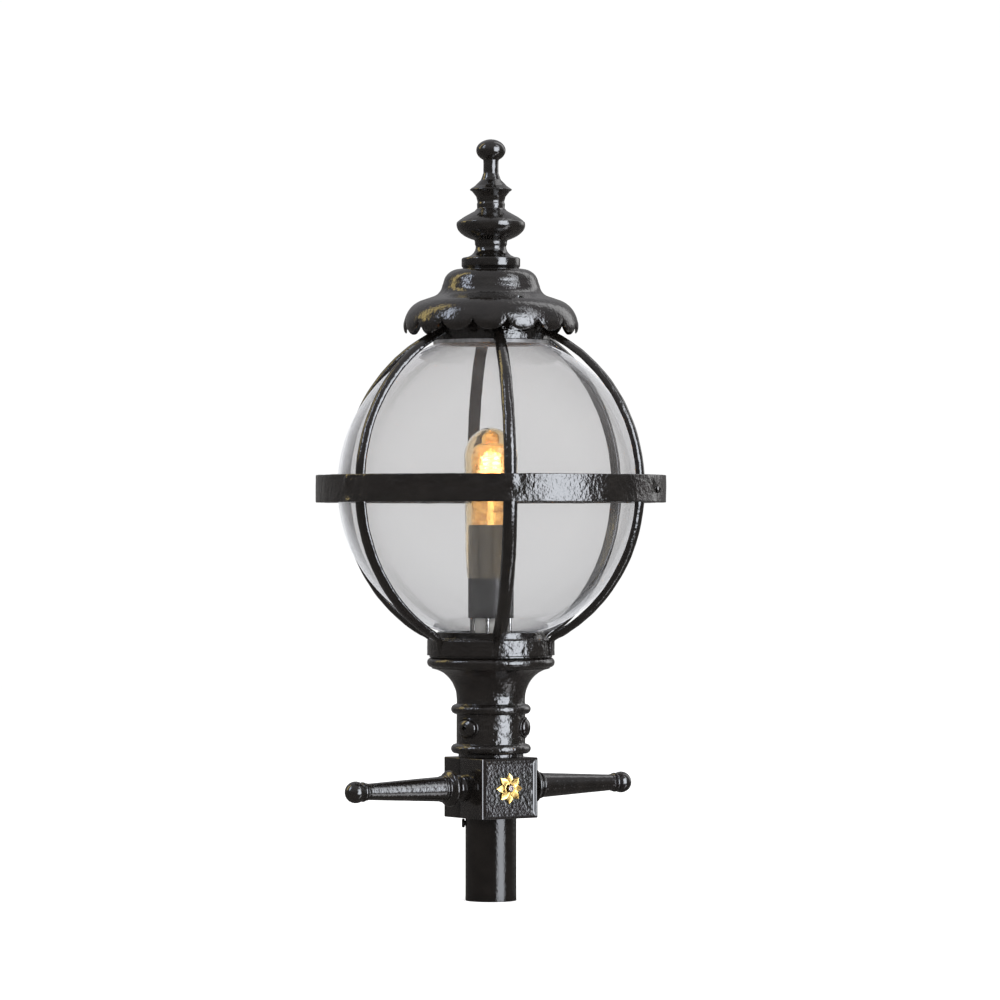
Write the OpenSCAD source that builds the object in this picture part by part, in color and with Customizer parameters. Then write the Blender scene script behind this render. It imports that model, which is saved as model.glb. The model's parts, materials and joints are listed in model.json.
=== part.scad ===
// Globe lantern on a round post, with a ladder-rest block and two arms below it.
// Origin: centre of the post's bottom end. +Z up, arms along X, rosette towards -Y.

/* [Post] */
// Outside diameter of the post tube
post_d = 76.1; // [75.5:0.1:76.5]
// Wall thickness of the post tube
post_wall = 4; // [3:0.5:5]
// Height of the ladder block's underside above the post's bottom end
block_z = 123.7; // [60:0.1:300]

/* [Ladder rest] */
// Side of the square ladder block
block_side = 100.5; // [97:0.5:104]
// Height of the ladder block
block_h = 90; // [86:0.5:100]
// Depth of the recessed field on the front and rear of the block
field_depth = 2.5; // [1.5:0.5:3]
// Width of the raised border around the recessed field
border_w = 8; // [6:0.5:11]
// Span of the gilt rosette over its petals
rosette_d = 46; // [40:1:50]
// Length of the tapered part of each arm
taper_len = 129.6; // [100:0.1:200]
// Radius of the ball on the end of each arm
arm_ball_r = 16; // [13:0.5:20]

/* [Lantern] */
// Outside radius of the glass globe
globe_r = 228.6; // [226:0.1:230]
// Thickness of the glass globe
globe_wall = 3; // [2:0.5:5]
// Height of the globe's centre above the top of the ladder block
globe_rise = 402.5; // [402:0.1:404]
// Number of ribs in each half of the cage
rib_count = 6; // [5:1:8]
// Angle that the lantern is turned to on the post, about the vertical
lantern_turn = 2.2; // [-30:0.1:30]
// Width of the lower ribs
lower_rib_w = 21; // [14:0.5:24]
// Width of the upper ribs
upper_rib_w = 18; // [14:0.5:20]

/* [Canopy] */
// Number of lobes in the scalloped frill
lobe_count = 16; // [12:1:20]
// Depth of each lobe below the frill's cusps
lobe_depth = 17; // [12:0.5:20]

/* [Hidden] */
$fn = 72;

// Gap between parts of one body that slip over each other
slip = 0.4;
// Amount that a cutting tool runs past a face
over = 1;

// Post and block
post_r = post_d / 2;
post_in_r = post_r - post_wall;
post_bore_r = post_r + slip;
// The bottom of the tube is bored out to take a spigot
post_socket_r = post_in_r + 0.5;
socket_len = 100;
// Screw in the post, just under the block
post_screw_angle = -124.6;
post_screw_z = block_z - 8.7;
post_screw_r = 4;
block_top = block_z + block_h;
block_mid = block_z + block_h / 2;
half_side = block_side / 2;
// The two block castings meet on a vertical plane behind the arms
seam_y = 8.4;
seam_gap = 0.2;
bolt_r = 3;
bolt_x = half_side - 5.6;
bolt_dz = block_h / 2 - 11.3;
bolt_head_r = 5;
bolt_head_h = 5;
spigot_r = 7;
spigot_len = 9;

// Collar that holds the lantern on the post
seat_z = block_top + 86.3;
collar_top = block_top + 151.8;
boss_z = block_top + 44.3;
boss_angles = [-79.5, 40.5, 160.5];
boss_face_r = 58.6;
boss_dome_h = 5.6;
grub_r = 3;
grub_depth = 3;

// Drum and lamp tray, from the collar's top
drum_r = 95;
drum_top = collar_top + 25.5;
tray_z = collar_top + 20.5;
tray_t = 3;
lip_r = 80;
lip_in_r = 75.5;
lip_top = drum_top + 9;
floor_top = collar_top + 6;
flange_in_r = 62;
flange_t = 6;
drum_screw_circle_r = 68.5;
plate_screw_circle_r = 68.5;

// Globe and cage
globe_z = block_top + globe_rise;
globe_in_r = globe_r - globe_wall;
glass_bottom = globe_z - 218.2;
glass_top = globe_z + 213.8;
rib_out_r = globe_r + 16.8;
rib_t = 10;
// The hoops are a little larger than the globe: outer radius, and centre from the globe's centre
upper_hoop_r = 252.2;
upper_hoop_x = -7;
upper_hoop_z = 2.8;
lower_hoop_r = 250.6;
lower_hoop_x = -5.3;
lower_hoop_z = -2.2;
rib_pitch = 360 / rib_count;
first_rib = -30;
foot_t = 3.5;
foot_w = 17;
foot_tip_w = 3;
// Underside of the lower ribs, where they come in over the drum's edge
landing_w = 33;
landing_h = 9;

// Rings and band at the globe's equator
ring_in_r = globe_r + 2.4;
ring_out_r = globe_r + 27.1;
band_out_r = ring_out_r + 6;
nest_gap = 1.1;
band_z = globe_z - 23.1;
band_top = globe_z + 17.4;
split_z = globe_z - 11.2;
split_gap = 0.4;
upper_ring_z = split_z + split_gap;
upper_ring_top = band_top - 0.6;

// Hinge behind the rear rib
hinge_angle = 150;
hinge_r = band_out_r + 8.3;
hinge_z = upper_ring_top;
knuckle_r = 7;
knuckle_in = 8.5;
knuckle_out = 22;
pin_r = 4;
pin_gap = 0.06;

// Locking screw through the band
lock_angle = 32.8;
lock_r = 4;
lock_head_r = 6.3;

// Top ring, canopy and finial
top_z = globe_z + 217.8;
top_ring_r = 88;
top_ring_top = top_z + 32;
frill_z = globe_z + 229;
first_cusp = -3.7;
rim_z = globe_z + 251.8;
rim_r = 129.3;
frill_t = 3.5;
dome_top = globe_z + 324.3;
finial_z = globe_z + 326.8;
dome_t = 4;
pillar_r = 100;
pillar_top = globe_z + 268;
screw_seat_z = globe_z + 274.5;
pillar_angles = [-131.5, -11.5, 108.5];
lug_r = 9;
lug_t = 8;
lug_root_r = 84;
stud_r = 6;

// Lamp
lamp_z = globe_z - 195.5;
stud_circle_r = 28.5;
lamp_stud_r = 3;
lamp_stud_angle = -46.8;
sleeve_r = 33.9;
sleeve_top = globe_z - 56.7;
cap_r = 20;
cap_gap = 0.4;
bulb_r = 29;
bulb_wall = 1.5;
bulb_waist = globe_z - 80;
bulb_shoulder = globe_z + 45;
bulb_tip_r = 12.7;

// ---------- helpers ----------

// Direction b, in degrees from -Y towards +X, becomes +X for the children
module facing(b) rotate(b - 90) children();

// Lantern parts turn together on the post
module lantern() rotate(lantern_turn) children();

// Points along an ellipse about (x, z), from angle a0 to a1
function arc(x, z, rx, rz, a0, a1, n = 8) =
  [for (i = [0:n]) let (a = a0 + (a1 - a0) * i / n) [x + rx * cos(a), z + rz * sin(a)]];

// Solid of revolution about Z from an outline in r and z
module turned(outline) rotate_extrude() polygon(outline);

// Straight tube between two heights
module tube(ro, ri, z0, z1)
  translate([0, 0, z0])
    linear_extrude(z1 - z0)
      difference() {
        circle(ro);
        circle(ri);
      }

// Upright rod between two heights
module rod(r, z0, z1) translate([0, 0, z0]) cylinder(r = r, h = z1 - z0);

// Part of a spherical shell about the globe's centre, between two heights
module globe_shell(ro, ri, z0, z1)
  translate([0, 0, globe_z])
    rotate_extrude()
      intersection() {
        difference() {
          circle(ro);
          circle(ri);
        }
        translate([0, z0 - globe_z]) square([ro + over, z1 - z0]);
      }

// Rod that points along +X, between two distances from the axis
module radial_rod(r, x0, x1, z) translate([x0, 0, z]) rotate([0, 90, 0]) cylinder(r = r, h = x1 - x0);

// Children at each of the three drum screws
module at_drum_screws()
  for (k = [0:2]) rotate(k * 120 + 30) translate([drum_screw_circle_r, 0, 0]) children();

// Children at each of the three screws of the lamp plate
module at_plate_screws()
  for (k = [0:2]) rotate(k * 120 + 90) translate([plate_screw_circle_r, 0, 0]) children();

// Children at each of the three pillars under the canopy
module at_pillars()
  for (b = pillar_angles) facing(b) translate([pillar_r, 0, 0]) children();

// ---------- post and ladder rest ----------

module post_tube()
  color("dimgray")
    difference() {
      turned([[post_socket_r, 0], [post_r, 0], [post_r, seat_z], [post_in_r, seat_z],
        [post_in_r, socket_len], [post_socket_r, socket_len]]);
      facing(post_screw_angle) radial_rod(post_screw_r, post_in_r - over, post_r + over, post_screw_z);
    }

module post_screw()
  color("silver")
    facing(post_screw_angle)
      difference() {
        union() {
          radial_rod(post_screw_r, post_in_r - 2, post_r, post_screw_z);
          radial_rod(7, post_r, post_r + 5.5, post_screw_z);
        }
        translate([post_r + 3, -over, post_screw_z - 8]) cube([5, 2 * over, 16]);
      }

// One half of the block, solid, between two Y planes
module block_slab(y0, y1)
  translate([-half_side, y0, block_z]) cube([block_side, y1 - y0, block_h]);

// Recess that leaves the stepped border standing, on a face at the given Y
module field_cut(face_y, inward) {
  step = border_w / 2;
  for (i = [0, 1]) {
    depth = field_depth * (i + 1) / 2;
    w = block_side - 2 * (border_w - step * (1 - i));
    h = block_h - 2 * (border_w - step * (1 - i));
    translate([-w / 2, min(face_y, face_y + inward * depth), block_mid - h / 2])
      cube([w, depth, h]);
  }
}

// Holes for the four clamp bolts, along Y
module bolt_holes(r, y0, y1)
  for (x = [-bolt_x, bolt_x], dz = [-bolt_dz, bolt_dz])
    translate([x, y0, block_mid + dz]) rotate([-90, 0, 0]) cylinder(r = r, h = y1 - y0);

module block_front()
  color("dimgray")
    difference() {
      block_slab(-half_side, seam_y);
      rod(post_bore_r, block_z - over, block_top + over);
      field_cut(-half_side, 1);
      for (side = [0, 180])
        rotate(side) radial_rod(spigot_r, half_side - spigot_len, half_side + over, block_mid);
      translate([0, -half_side, block_mid]) rotate([-90, 0, 0]) cylinder(r = 3, h = 10);
      bolt_holes(bolt_r, -20, seam_y + over);
    }

module block_rear()
  color("dimgray")
    difference() {
      block_slab(seam_y + seam_gap, half_side);
      rod(post_bore_r, block_z - over, block_top + over);
      field_cut(half_side, -1);
      bolt_holes(bolt_r, seam_y, half_side + over);
      bolt_holes(bolt_head_r + slip, half_side - field_depth - bolt_head_h, half_side + over);
    }

// Socket-head bolts, entered from the rear
module block_bolts() {
  head_y = half_side - field_depth - bolt_head_h;
  color("silver")
    difference() {
      union() {
        bolt_holes(bolt_r, -19, head_y);
        bolt_holes(bolt_head_r, head_y, head_y + bolt_head_h);
      }
      for (x = [-bolt_x, bolt_x], dz = [-bolt_dz, bolt_dz])
        translate([x, head_y + 2, block_mid + dz])
          rotate([-90, 0, 0]) cylinder(r = 2.5, h = 5, $fn = 6);
    }
}

field_y = -half_side + field_depth;
petal_half = rosette_d / 4;
petal_w = petal_half * 0.46;
petal_r = (petal_half * petal_half + petal_w * petal_w) / (2 * petal_w);

// Pointed petal along +X from the centre
module petal()
  intersection_for(s = [-1, 1])
    translate([petal_half, s * (petal_r - petal_w)]) circle(petal_r);

// Eight pointed petals around a raised seat
module rosette()
  color("goldenrod")
    translate([0, field_y, block_mid])
      rotate([90, 0, 0])
        difference() {
          union() {
            linear_extrude(2.5) for (k = [0:7]) rotate(k * 45) petal();
            cylinder(r = 10, h = 3.5);
          }
          translate([0, 0, -over]) cylinder(r = 3, h = 8);
        }

module rosette_screw()
  color("silver")
    translate([0, field_y - 3.5, block_mid])
      rotate([90, 0, 0])
        difference() {
          union() {
            translate([0, 0, -11]) cylinder(r = 3, h = 11);
            cylinder(r = 6, h = 3);
          }
          translate([-0.8, -7, 1.8]) cube([1.6, 14, 3]);
        }

// Turned arm: r against the distance from the block's face
taper_end = 41 + taper_len;
ball_t = taper_end + 19.4;
module arm()
  turned(concat(
    [[0, -spigot_len], [spigot_r, -spigot_len], [spigot_r, 0], [20, 0], [20, 4.5]],
    arc(26, 12.5, 9.5, 8, 230, 130),
    [[23, 20.6]],
    arc(23.5, 24.5, 3.5, 3.6, -80, 80),
    arc(25, 32, 6.4, 3.6, 220, 140),
    arc(17, 37.5, 3, 3, -60, 60),
    [[18.5, 41], [12, taper_end], [12.8, taper_end], [12.8, taper_end + 3]],
    arc(11, taper_end + 7, 3.6, 3.9, -80, 65),
    arc(0, ball_t, arm_ball_r, arm_ball_r, -33, 90, 12)
  ));

module arm_right() color("dimgray") translate([half_side, 0, block_mid]) rotate([0, 90, 0]) arm();
module arm_left() color("dimgray") translate([-half_side, 0, block_mid]) rotate([0, -90, 0]) arm();

// ---------- collar and drum ----------

module collar_body()
  turned(concat(
    [[post_bore_r, block_top], [48.5, block_top], [48.5, block_top + 5.6]],
    arc(52.4, block_top + 12.7, 7.1, 7.1, -90, 90),
    [[51.3, block_top + 19.9], [51.3, block_top + 64.2]],
    arc(52.2, block_top + 71.5, 7.2, 7.2, -90, 90),
    [[51, block_top + 80]],
    arc(93, seat_z, 42, 46, 180, 98, 12),
    arc(87.6, block_top + 141.3, 7.4, 7.4, -80, 85),
    [[91.5, block_top + 148.9], [91.5, collar_top], [flange_in_r, collar_top]],
    [[flange_in_r, collar_top - flange_t], [80, collar_top - flange_t]],
    arc(93, seat_z, 48, 52, 106, 172, 10),
    [[post_in_r, seat_z + 6], [post_in_r, seat_z], [post_bore_r, seat_z]]
  ));

module lantern_collar()
  color("dimgray")
    lantern()
      difference() {
        union() {
          collar_body();
          for (b = boss_angles)
            facing(b)
              translate([0, 0, boss_z])
                rotate([0, 90, 0])
                  turned(concat(
                    [[0, 45], [16, 45], [16, boss_face_r - boss_dome_h], [13, boss_face_r - boss_dome_h]],
                    arc(0, boss_face_r - boss_dome_h, 12.6, boss_dome_h, 5, 90)
                  ));
        }
        rod(post_bore_r, block_top - over, seat_z);
        for (b = boss_angles) facing(b) radial_rod(grub_r, post_r, boss_face_r + over, boss_z);
        at_drum_screws() rod(3, collar_top - flange_t - over, collar_top + over);
      }

module collar_screws()
  color("silver")
    lantern()
      for (b = boss_angles)
        facing(b)
          difference() {
            radial_rod(grub_r, post_r, boss_face_r - grub_depth, boss_z);
            translate([boss_face_r - grub_depth - 3, 0, boss_z])
              rotate([0, 90, 0]) cylinder(r = 1.7, h = 5, $fn = 6);
          }

module drum_ring()
  color("dimgray")
    lantern()
      difference() {
        turned(concat(
          [[12, collar_top], [drum_r, collar_top]],
          arc(drum_r - 4, drum_top - 4, 4, 4, 0, 90, 4),
          [[lip_r, drum_top], [lip_r, lip_top], [lip_in_r, lip_top], [lip_in_r, tray_z]],
          [[62, tray_z], [62, tray_z - 6], [lip_in_r, tray_z - 6]],
          [[lip_in_r, floor_top], [12, floor_top]]
        ));
        at_drum_screws() rod(3, collar_top - over, floor_top + over);
        at_plate_screws() rod(2, tray_z - 7, tray_z + over);
      }

// Screws that hold the drum down on the collar's inner flange
module drum_screws()
  color("silver")
    lantern()
      at_drum_screws()
        difference() {
          union() {
            rod(3, collar_top - flange_t, floor_top);
            rod(5.3, floor_top, floor_top + 4);
          }
          rod(2.5, floor_top + 2, floor_top + 5, $fn = 6);
        }

// ---------- cage ----------

// Hoop of rounded section in the XZ plane, of outer radius r about a point near the globe's centre
module rib_hoop(w, r, x, z)
  translate([x, 0, globe_z + z])
    rotate([90, 0, 0])
      rotate_extrude()
        polygon(concat(
          [[r - rib_t, w / 2], [r - rib_t, -w / 2]],
          arc(r - rib_t, 0, rib_t, w / 2, -68, 68, 10)
        ));

// Pointed foot that runs down the drum's side under a rib
module rib_foot()
  translate([drum_r - 1, 0, 0])
    rotate([90, 0, 90])
      linear_extrude(foot_t + 1)
        polygon([
          [-foot_w / 2, drum_top + 4], [foot_w / 2, drum_top + 4],
          [foot_tip_w / 2, collar_top + 1], [-foot_tip_w / 2, collar_top + 1]
        ]);

module lower_ribs()
  color("dimgray")
    lantern()
      for (k = [0:rib_count - 1])
        facing(first_rib + k * rib_pitch)
          difference() {
            union() {
              intersection() {
                rib_hoop(lower_rib_w, lower_hoop_r, lower_hoop_x, lower_hoop_z);
                translate([lip_r + 0.2, -30, drum_top]) cube([200, 60, band_z - drum_top]);
              }
              rib_foot();
            }
            rod(lip_r + 0.2, drum_top - over, lip_top + over);
            rod(drum_r + 0.1, collar_top, drum_top, $fn = 288);
            turned([[drum_r + foot_t, drum_top], [drum_r + foot_t, drum_top - over],
              [drum_r + landing_w, drum_top - over], [drum_r + landing_w, drum_top + landing_h]]);
          }

module upper_ribs()
  color("dimgray")
    lantern()
      for (k = [0:rib_count - 1])
        facing(first_rib + k * rib_pitch)
          difference() {
            intersection() {
              rib_hoop(upper_rib_w, upper_hoop_r, upper_hoop_x, upper_hoop_z);
              translate([0, -30, upper_ring_top]) cube([300, 60, 300]);
            }
            rod(top_ring_r, top_z - 20, top_ring_top + 10);
          }

module lower_ring() color("dimgray") lantern() tube(ring_out_r, ring_in_r, band_z, split_z);

module band()
  color("dimgray")
    lantern()
      difference() {
        tube(band_out_r, ring_out_r, band_z, band_top);
        facing(lock_angle) radial_rod(lock_r + 0.05, ring_in_r, band_out_r + over, globe_z - 3.5);
      }

module upper_ring()
  color("dimgray")
    lantern()
      difference() {
        tube(ring_out_r - nest_gap, ring_in_r, upper_ring_z, upper_ring_top);
        facing(lock_angle) radial_rod(lock_r + 0.5, ring_in_r + 12, band_out_r, globe_z - 3.5);
      }

// ---------- hinge ----------

// Rod across the hinge line, between two offsets along it
module hinge_rod(r, y0, y1)
  translate([hinge_r, y0, hinge_z]) rotate([-90, 0, 0]) cylinder(r = r, h = y1 - y0);

module hinge_bracket()
  color("dimgray")
    lantern()
      facing(hinge_angle)
        difference() {
          union() {
            hinge_rod(knuckle_r, -knuckle_out, knuckle_out);
            translate([band_out_r - 3, -knuckle_out, band_z + 4])
              cube([hinge_r - band_out_r + 5, 2 * knuckle_out, hinge_z - band_z - 4]);
          }
          rod(band_out_r, band_z - over, band_top + 20, $fn = 288);
          translate([band_out_r - over, -knuckle_in - slip, hinge_z - knuckle_r - 2])
            cube([20, 2 * (knuckle_in + slip), 30]);
          hinge_rod(pin_r, -knuckle_out - over, knuckle_out + over);
        }

module hinge_pin()
  color("silver")
    lantern()
      facing(hinge_angle) hinge_rod(pin_r, -knuckle_out - 1.5, knuckle_out + 1.5);

module hinge_lug()
  color("dimgray")
    lantern()
      facing(hinge_angle)
        difference() {
          union() {
            hinge_rod(knuckle_r, -knuckle_in, knuckle_in);
            translate([rib_out_r + 0.2, -knuckle_in, band_top + 0.8])
              cube([hinge_r - rib_out_r, 2 * knuckle_in, knuckle_r - 1.4]);
            translate([rib_out_r + 0.2, -16, upper_ring_top]) cube([8.6, 32, 7]);
          }
          hinge_rod(pin_r + pin_gap, -knuckle_in - over, knuckle_in + over);
        }

module lock_screw()
  color("silver")
    lantern()
      facing(lock_angle)
        translate([0, 0, globe_z - 3.5])
          rotate([0, 90, 0])
            difference() {
              union() {
                rod(lock_r, ring_out_r - 0.3, band_out_r + 0.5);
                turned(concat([[0, band_out_r + 0.4], [lock_head_r, band_out_r + 0.4]],
                  arc(0, band_out_r + 0.4, lock_head_r, 4, 0, 90)));
              }
              rod(2, band_out_r + 2, band_out_r + 6, $fn = 6);
            }

// ---------- globe ----------

module lower_globe()
  color("lightgray", 0.3) lantern() globe_shell(globe_r, globe_in_r, glass_bottom, split_z - 0.2);

module upper_globe()
  color("lightgray", 0.3) lantern() globe_shell(globe_r, globe_in_r, upper_ring_z + 0.2, glass_top);

module lower_globe_seal()
  color("black")
    lantern()
      turned([[62, tray_z + tray_t], [75.3, tray_z + tray_t], [75.3, lip_top + 0.1],
        [68.3, glass_bottom - 0.2], [62, glass_bottom - 0.2]]);

module upper_globe_seal()
  color("black")
    lantern()
      turned([[72.2, glass_top], [72.2, top_z], [86, top_z], [86, top_z - 5.5], [81.3, glass_top + 0.1]]);

// Rubber strip between a ring and the globe, between two heights
module ring_seal(z0, z1) {
  r = globe_r + 0.1;
  color("black")
    lantern()
      turned(concat(
        [[ring_in_r, z0], [ring_in_r, z1]],
        arc(0, globe_z, r, r, asin((z1 - globe_z) / r), asin((z0 - globe_z) / r), 4)
      ));
}

module lower_ring_seal() ring_seal(band_z, split_z - 0.2);
module upper_ring_seal() ring_seal(upper_ring_z + 0.2, upper_ring_top);

// ---------- lamp ----------

module lamp_plate()
  color("gainsboro")
    lantern()
      difference() {
        rod(75, tray_z, tray_z + tray_t);
        rod(8, tray_z - over, tray_z + tray_t + over);
        at_plate_screws() rod(2, tray_z - over, tray_z + tray_t + over);
      }

module plate_screws()
  color("silver")
    lantern()
      at_plate_screws() rod(2, tray_z - 6, tray_z + tray_t);

module cable_gland()
  color("dimgray")
    lantern()
      difference() {
        union() {
          rod(8, tray_z - 6, tray_z + tray_t);
          rod(12, tray_z - 6, tray_z, $fn = 6);
          rod(11, tray_z + tray_t, tray_z + tray_t + 3, $fn = 6);
        }
        rod(4, tray_z - 7, tray_z + tray_t + 4);
      }

module terminal_block()
  color("white")
    lantern()
      translate([0, 42, floor_top])
        difference() {
          translate([-24, -9, 0]) cube([48, 18, 12]);
          for (i = [-1:1]) translate([i * 15, 0, 6]) cylinder(r = 3, h = 10);
        }

module lamp_studs()
  color("silver")
    lantern()
      for (k = [0:3])
        facing(lamp_stud_angle + k * 90)
          translate([stud_circle_r, 0, 0]) rod(lamp_stud_r, tray_z + tray_t, lamp_z);

module lamp_holder()
  color("whitesmoke")
    lantern()
      turned([[12, tray_z + tray_t + 4], [24, tray_z + tray_t + 4], [24, lamp_z + 34],
        [cap_r + cap_gap, lamp_z + 34], [cap_r + cap_gap, tray_z + 12], [12, tray_z + 12]]);

// Grey can around the lamp holder, open at the top
module lamp_sleeve()
  color("gray")
    lantern()
      turned([[24.1, lamp_z], [sleeve_r, lamp_z], [sleeve_r, sleeve_top], [sleeve_r - 2, sleeve_top],
        [sleeve_r - 2, lamp_z + 2.5], [24.1, lamp_z + 2.5]]);

// Clear glass chimney that stands round the sleeve
chimney_z = globe_z - 136;
chimney_mid = globe_z + 44;
chimney_r = 40;
module lamp_chimney()
  color("white", 0.3)
    lantern()
      turned(concat(
        [[sleeve_r + 0.1, chimney_z], [35.5, chimney_z], [38, chimney_z + 36]],
        arc(0, chimney_mid, chimney_r, 44.6, 0, 90, 14),
        arc(0, chimney_mid, chimney_r - 2, 42.6, 90, 0, 14),
        [[36, chimney_z + 36]]
      ));

module lamp_cap()
  color("silver")
    lantern()
      turned([[0, tray_z + 13], [8, tray_z + 13], [10, tray_z + 17], [cap_r, tray_z + 20],
        [cap_r, lamp_z + 30], [0, lamp_z + 30]]);

module lamp_bulb()
  color("moccasin", 0.5)
    lantern()
      turned(concat(
        [[0, lamp_z + 30], [12, lamp_z + 30], [18, lamp_z + 60], [bulb_r, bulb_waist]],
        arc(bulb_r - 16, bulb_shoulder, 16, 20, 0, 90),
        arc(0, bulb_shoulder + 27, bulb_tip_r, 12, 0, 90),
        arc(0, bulb_shoulder + 27, bulb_tip_r - bulb_wall, 10.5, 90, 0),
        [[bulb_tip_r - bulb_wall, bulb_shoulder + 18.9]],
        arc(bulb_r - 16, bulb_shoulder, 16 - bulb_wall, 18.5, 90, 0),
        [[bulb_r - bulb_wall, bulb_waist], [16.5, lamp_z + 60], [11, lamp_z + 32], [0, lamp_z + 32]]
      ));

module lamp_core() color("orange") lantern() rod(8, lamp_z + 32, globe_z + 60);

// ---------- top ----------

module top_ring()
  color("dimgray")
    lantern()
      difference() {
        union() {
          turned([[70, top_z], [top_ring_r, top_z], [top_ring_r, top_ring_top], [78, top_ring_top],
            [78, top_z + 4], [70, top_z + 4]]);
          at_pillars() {
            rod(lug_r, top_ring_top - lug_t, top_ring_top);
            translate([lug_root_r - pillar_r, -lug_r, top_ring_top - lug_t])
              cube([pillar_r - lug_root_r, 2 * lug_r, lug_t]);
          }
        }
        at_pillars() rod(3, top_ring_top - lug_t - over, top_ring_top + over);
      }

// Outline of the dome, moved inwards by t
function dome_line(t) =
  concat(
    arc(90.4, globe_z + 240.8, 39.2 - t, 39.2 - t, 16.3, 68, 10),
    arc(92.5, globe_z + 302.6, 20 + t, 20 + t, 250, 190),
    arc(48.3, globe_z + 301.8, 22.5 - t, 22.5 - t, 10, 90)
  );

function reversed(v) = [for (i = [len(v) - 1:-1:0]) v[i]];

module canopy()
  color("dimgray")
    lantern()
      difference() {
        union() {
          turned(concat([[rim_r - 0.9, rim_z]], dome_line(0), [[0, dome_top]], [[0, dome_top - dome_t]],
            reversed(dome_line(dome_t)), [[rim_r - 0.9 - dome_t, rim_z]]));
          at_pillars() rod(7, pillar_top, screw_seat_z + 1);
        }
        rod(stud_r, dome_top - 10, dome_top + over);
        at_pillars() rod(3, pillar_top - over, screw_seat_z + 2);
        at_pillars() rod(5.8, screw_seat_z, dome_top);
      }

module canopy_screws()
  color("silver")
    lantern()
      at_pillars()
        difference() {
          union() {
            rod(3, top_ring_top - lug_t, screw_seat_z);
            rod(5.4, screw_seat_z, screw_seat_z + 3.5);
          }
          translate([-8, -0.8, screw_seat_z + 2]) cube([16, 1.6, 4]);
        }

module canopy_pillars()
  color("dimgray")
    lantern()
      at_pillars() tube(4.8, 3, top_ring_top, pillar_top);

// Scalloped skirt: a short tube cut to a row of round lobes
lobe_pitch = 360 / lobe_count;
lobe_half = rim_r * PI / lobe_count;
lobe_r = (lobe_half * lobe_half + lobe_depth * lobe_depth) / (2 * lobe_depth);
cusp_turn = acos(lobe_half / lobe_r);

// Gap between two lobes, seen from outside: width against height
module lobe_gap()
  polygon(concat(
    [[3 - lobe_half, -over]],
    arc(-lobe_half, lobe_r, lobe_r, lobe_r, -78, -cusp_turn, 6),
    arc(lobe_half, lobe_r, lobe_r, lobe_r, cusp_turn - 180, -102, 6),
    [[lobe_half - 3, -over]]
  ));

module canopy_frill()
  color("dimgray")
    lantern()
      difference() {
        tube(rim_r, rim_r - frill_t, frill_z, rim_z);
        for (k = [0:lobe_count - 1])
          facing(first_cusp + k * lobe_pitch)
            translate([rim_r - 20, 0, frill_z])
              rotate([90, 0, 90]) linear_extrude(40) lobe_gap();
      }

module finial()
  color("dimgray")
    lantern()
      difference() {
        turned(concat(
          [[0, dome_top], [41, dome_top]],
          arc(40.8, finial_z + 3, 3, 3, -60, 0, 3),
          arc(40.8, finial_z + 12, 3, 3, 0, 80, 3),
          arc(42, finial_z + 31.5, 19.3, 16.5, 260, 180),
          [[24, finial_z + 35], [24, finial_z + 38.5]],
          arc(0, finial_z + 64, 51.3, 26, -61, 8, 12),
          [[46.4, finial_z + 71.4], [40, finial_z + 75.8], [32, finial_z + 80.3]],
          [[24.2, finial_z + 84.6], [20.6, finial_z + 88.4]],
          arc(36, finial_z + 98.4, 16, 9.5, 200, 180, 2),
          [[22, finial_z + 106], [28, finial_z + 113.5], [32.1, finial_z + 116.3]],
          [[24, finial_z + 122], [15, finial_z + 131], [11.3, finial_z + 141], [11.3, finial_z + 158]],
          arc(0, finial_z + 175, 21.9, 16.5, -58, 90, 14)
        ));
        rod(stud_r, dome_top - over, dome_top + 26);
      }

module finial_stud() color("silver") lantern() rod(stud_r, dome_top - 22, dome_top + 25);

module finial_nut()
  color("silver")
    lantern()
      difference() {
        rod(11, dome_top - dome_t - 10, dome_top - dome_t, $fn = 6);
        rod(stud_r, dome_top - 20, dome_top);
      }

post_tube();
post_screw();
block_front();
block_rear();
block_bolts();
rosette();
rosette_screw();
arm_left();
arm_right();
lantern_collar();
collar_screws();
drum_ring();
drum_screws();
lower_ribs();
lower_ring();
band();
hinge_bracket();
hinge_pin();
lower_globe();
lower_globe_seal();
lower_ring_seal();
lamp_plate();
plate_screws();
cable_gland();
terminal_block();
lamp_studs();
lamp_holder();
lamp_sleeve();
lamp_chimney();
upper_ring();
upper_ribs();
top_ring();
upper_globe();
upper_globe_seal();
upper_ring_seal();
canopy();
canopy_frill();
canopy_pillars();
canopy_screws();
finial();
finial_stud();
finial_nut();
hinge_lug();
lock_screw();
lamp_cap();
lamp_bulb();
lamp_core();
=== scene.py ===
import json
from math import acos, asin, atan2, ceil, cos, degrees, exp, hypot, pi, radians, sin, sqrt, tan

import bmesh
import bpy
import numpy as np
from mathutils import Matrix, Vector, noise


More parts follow.
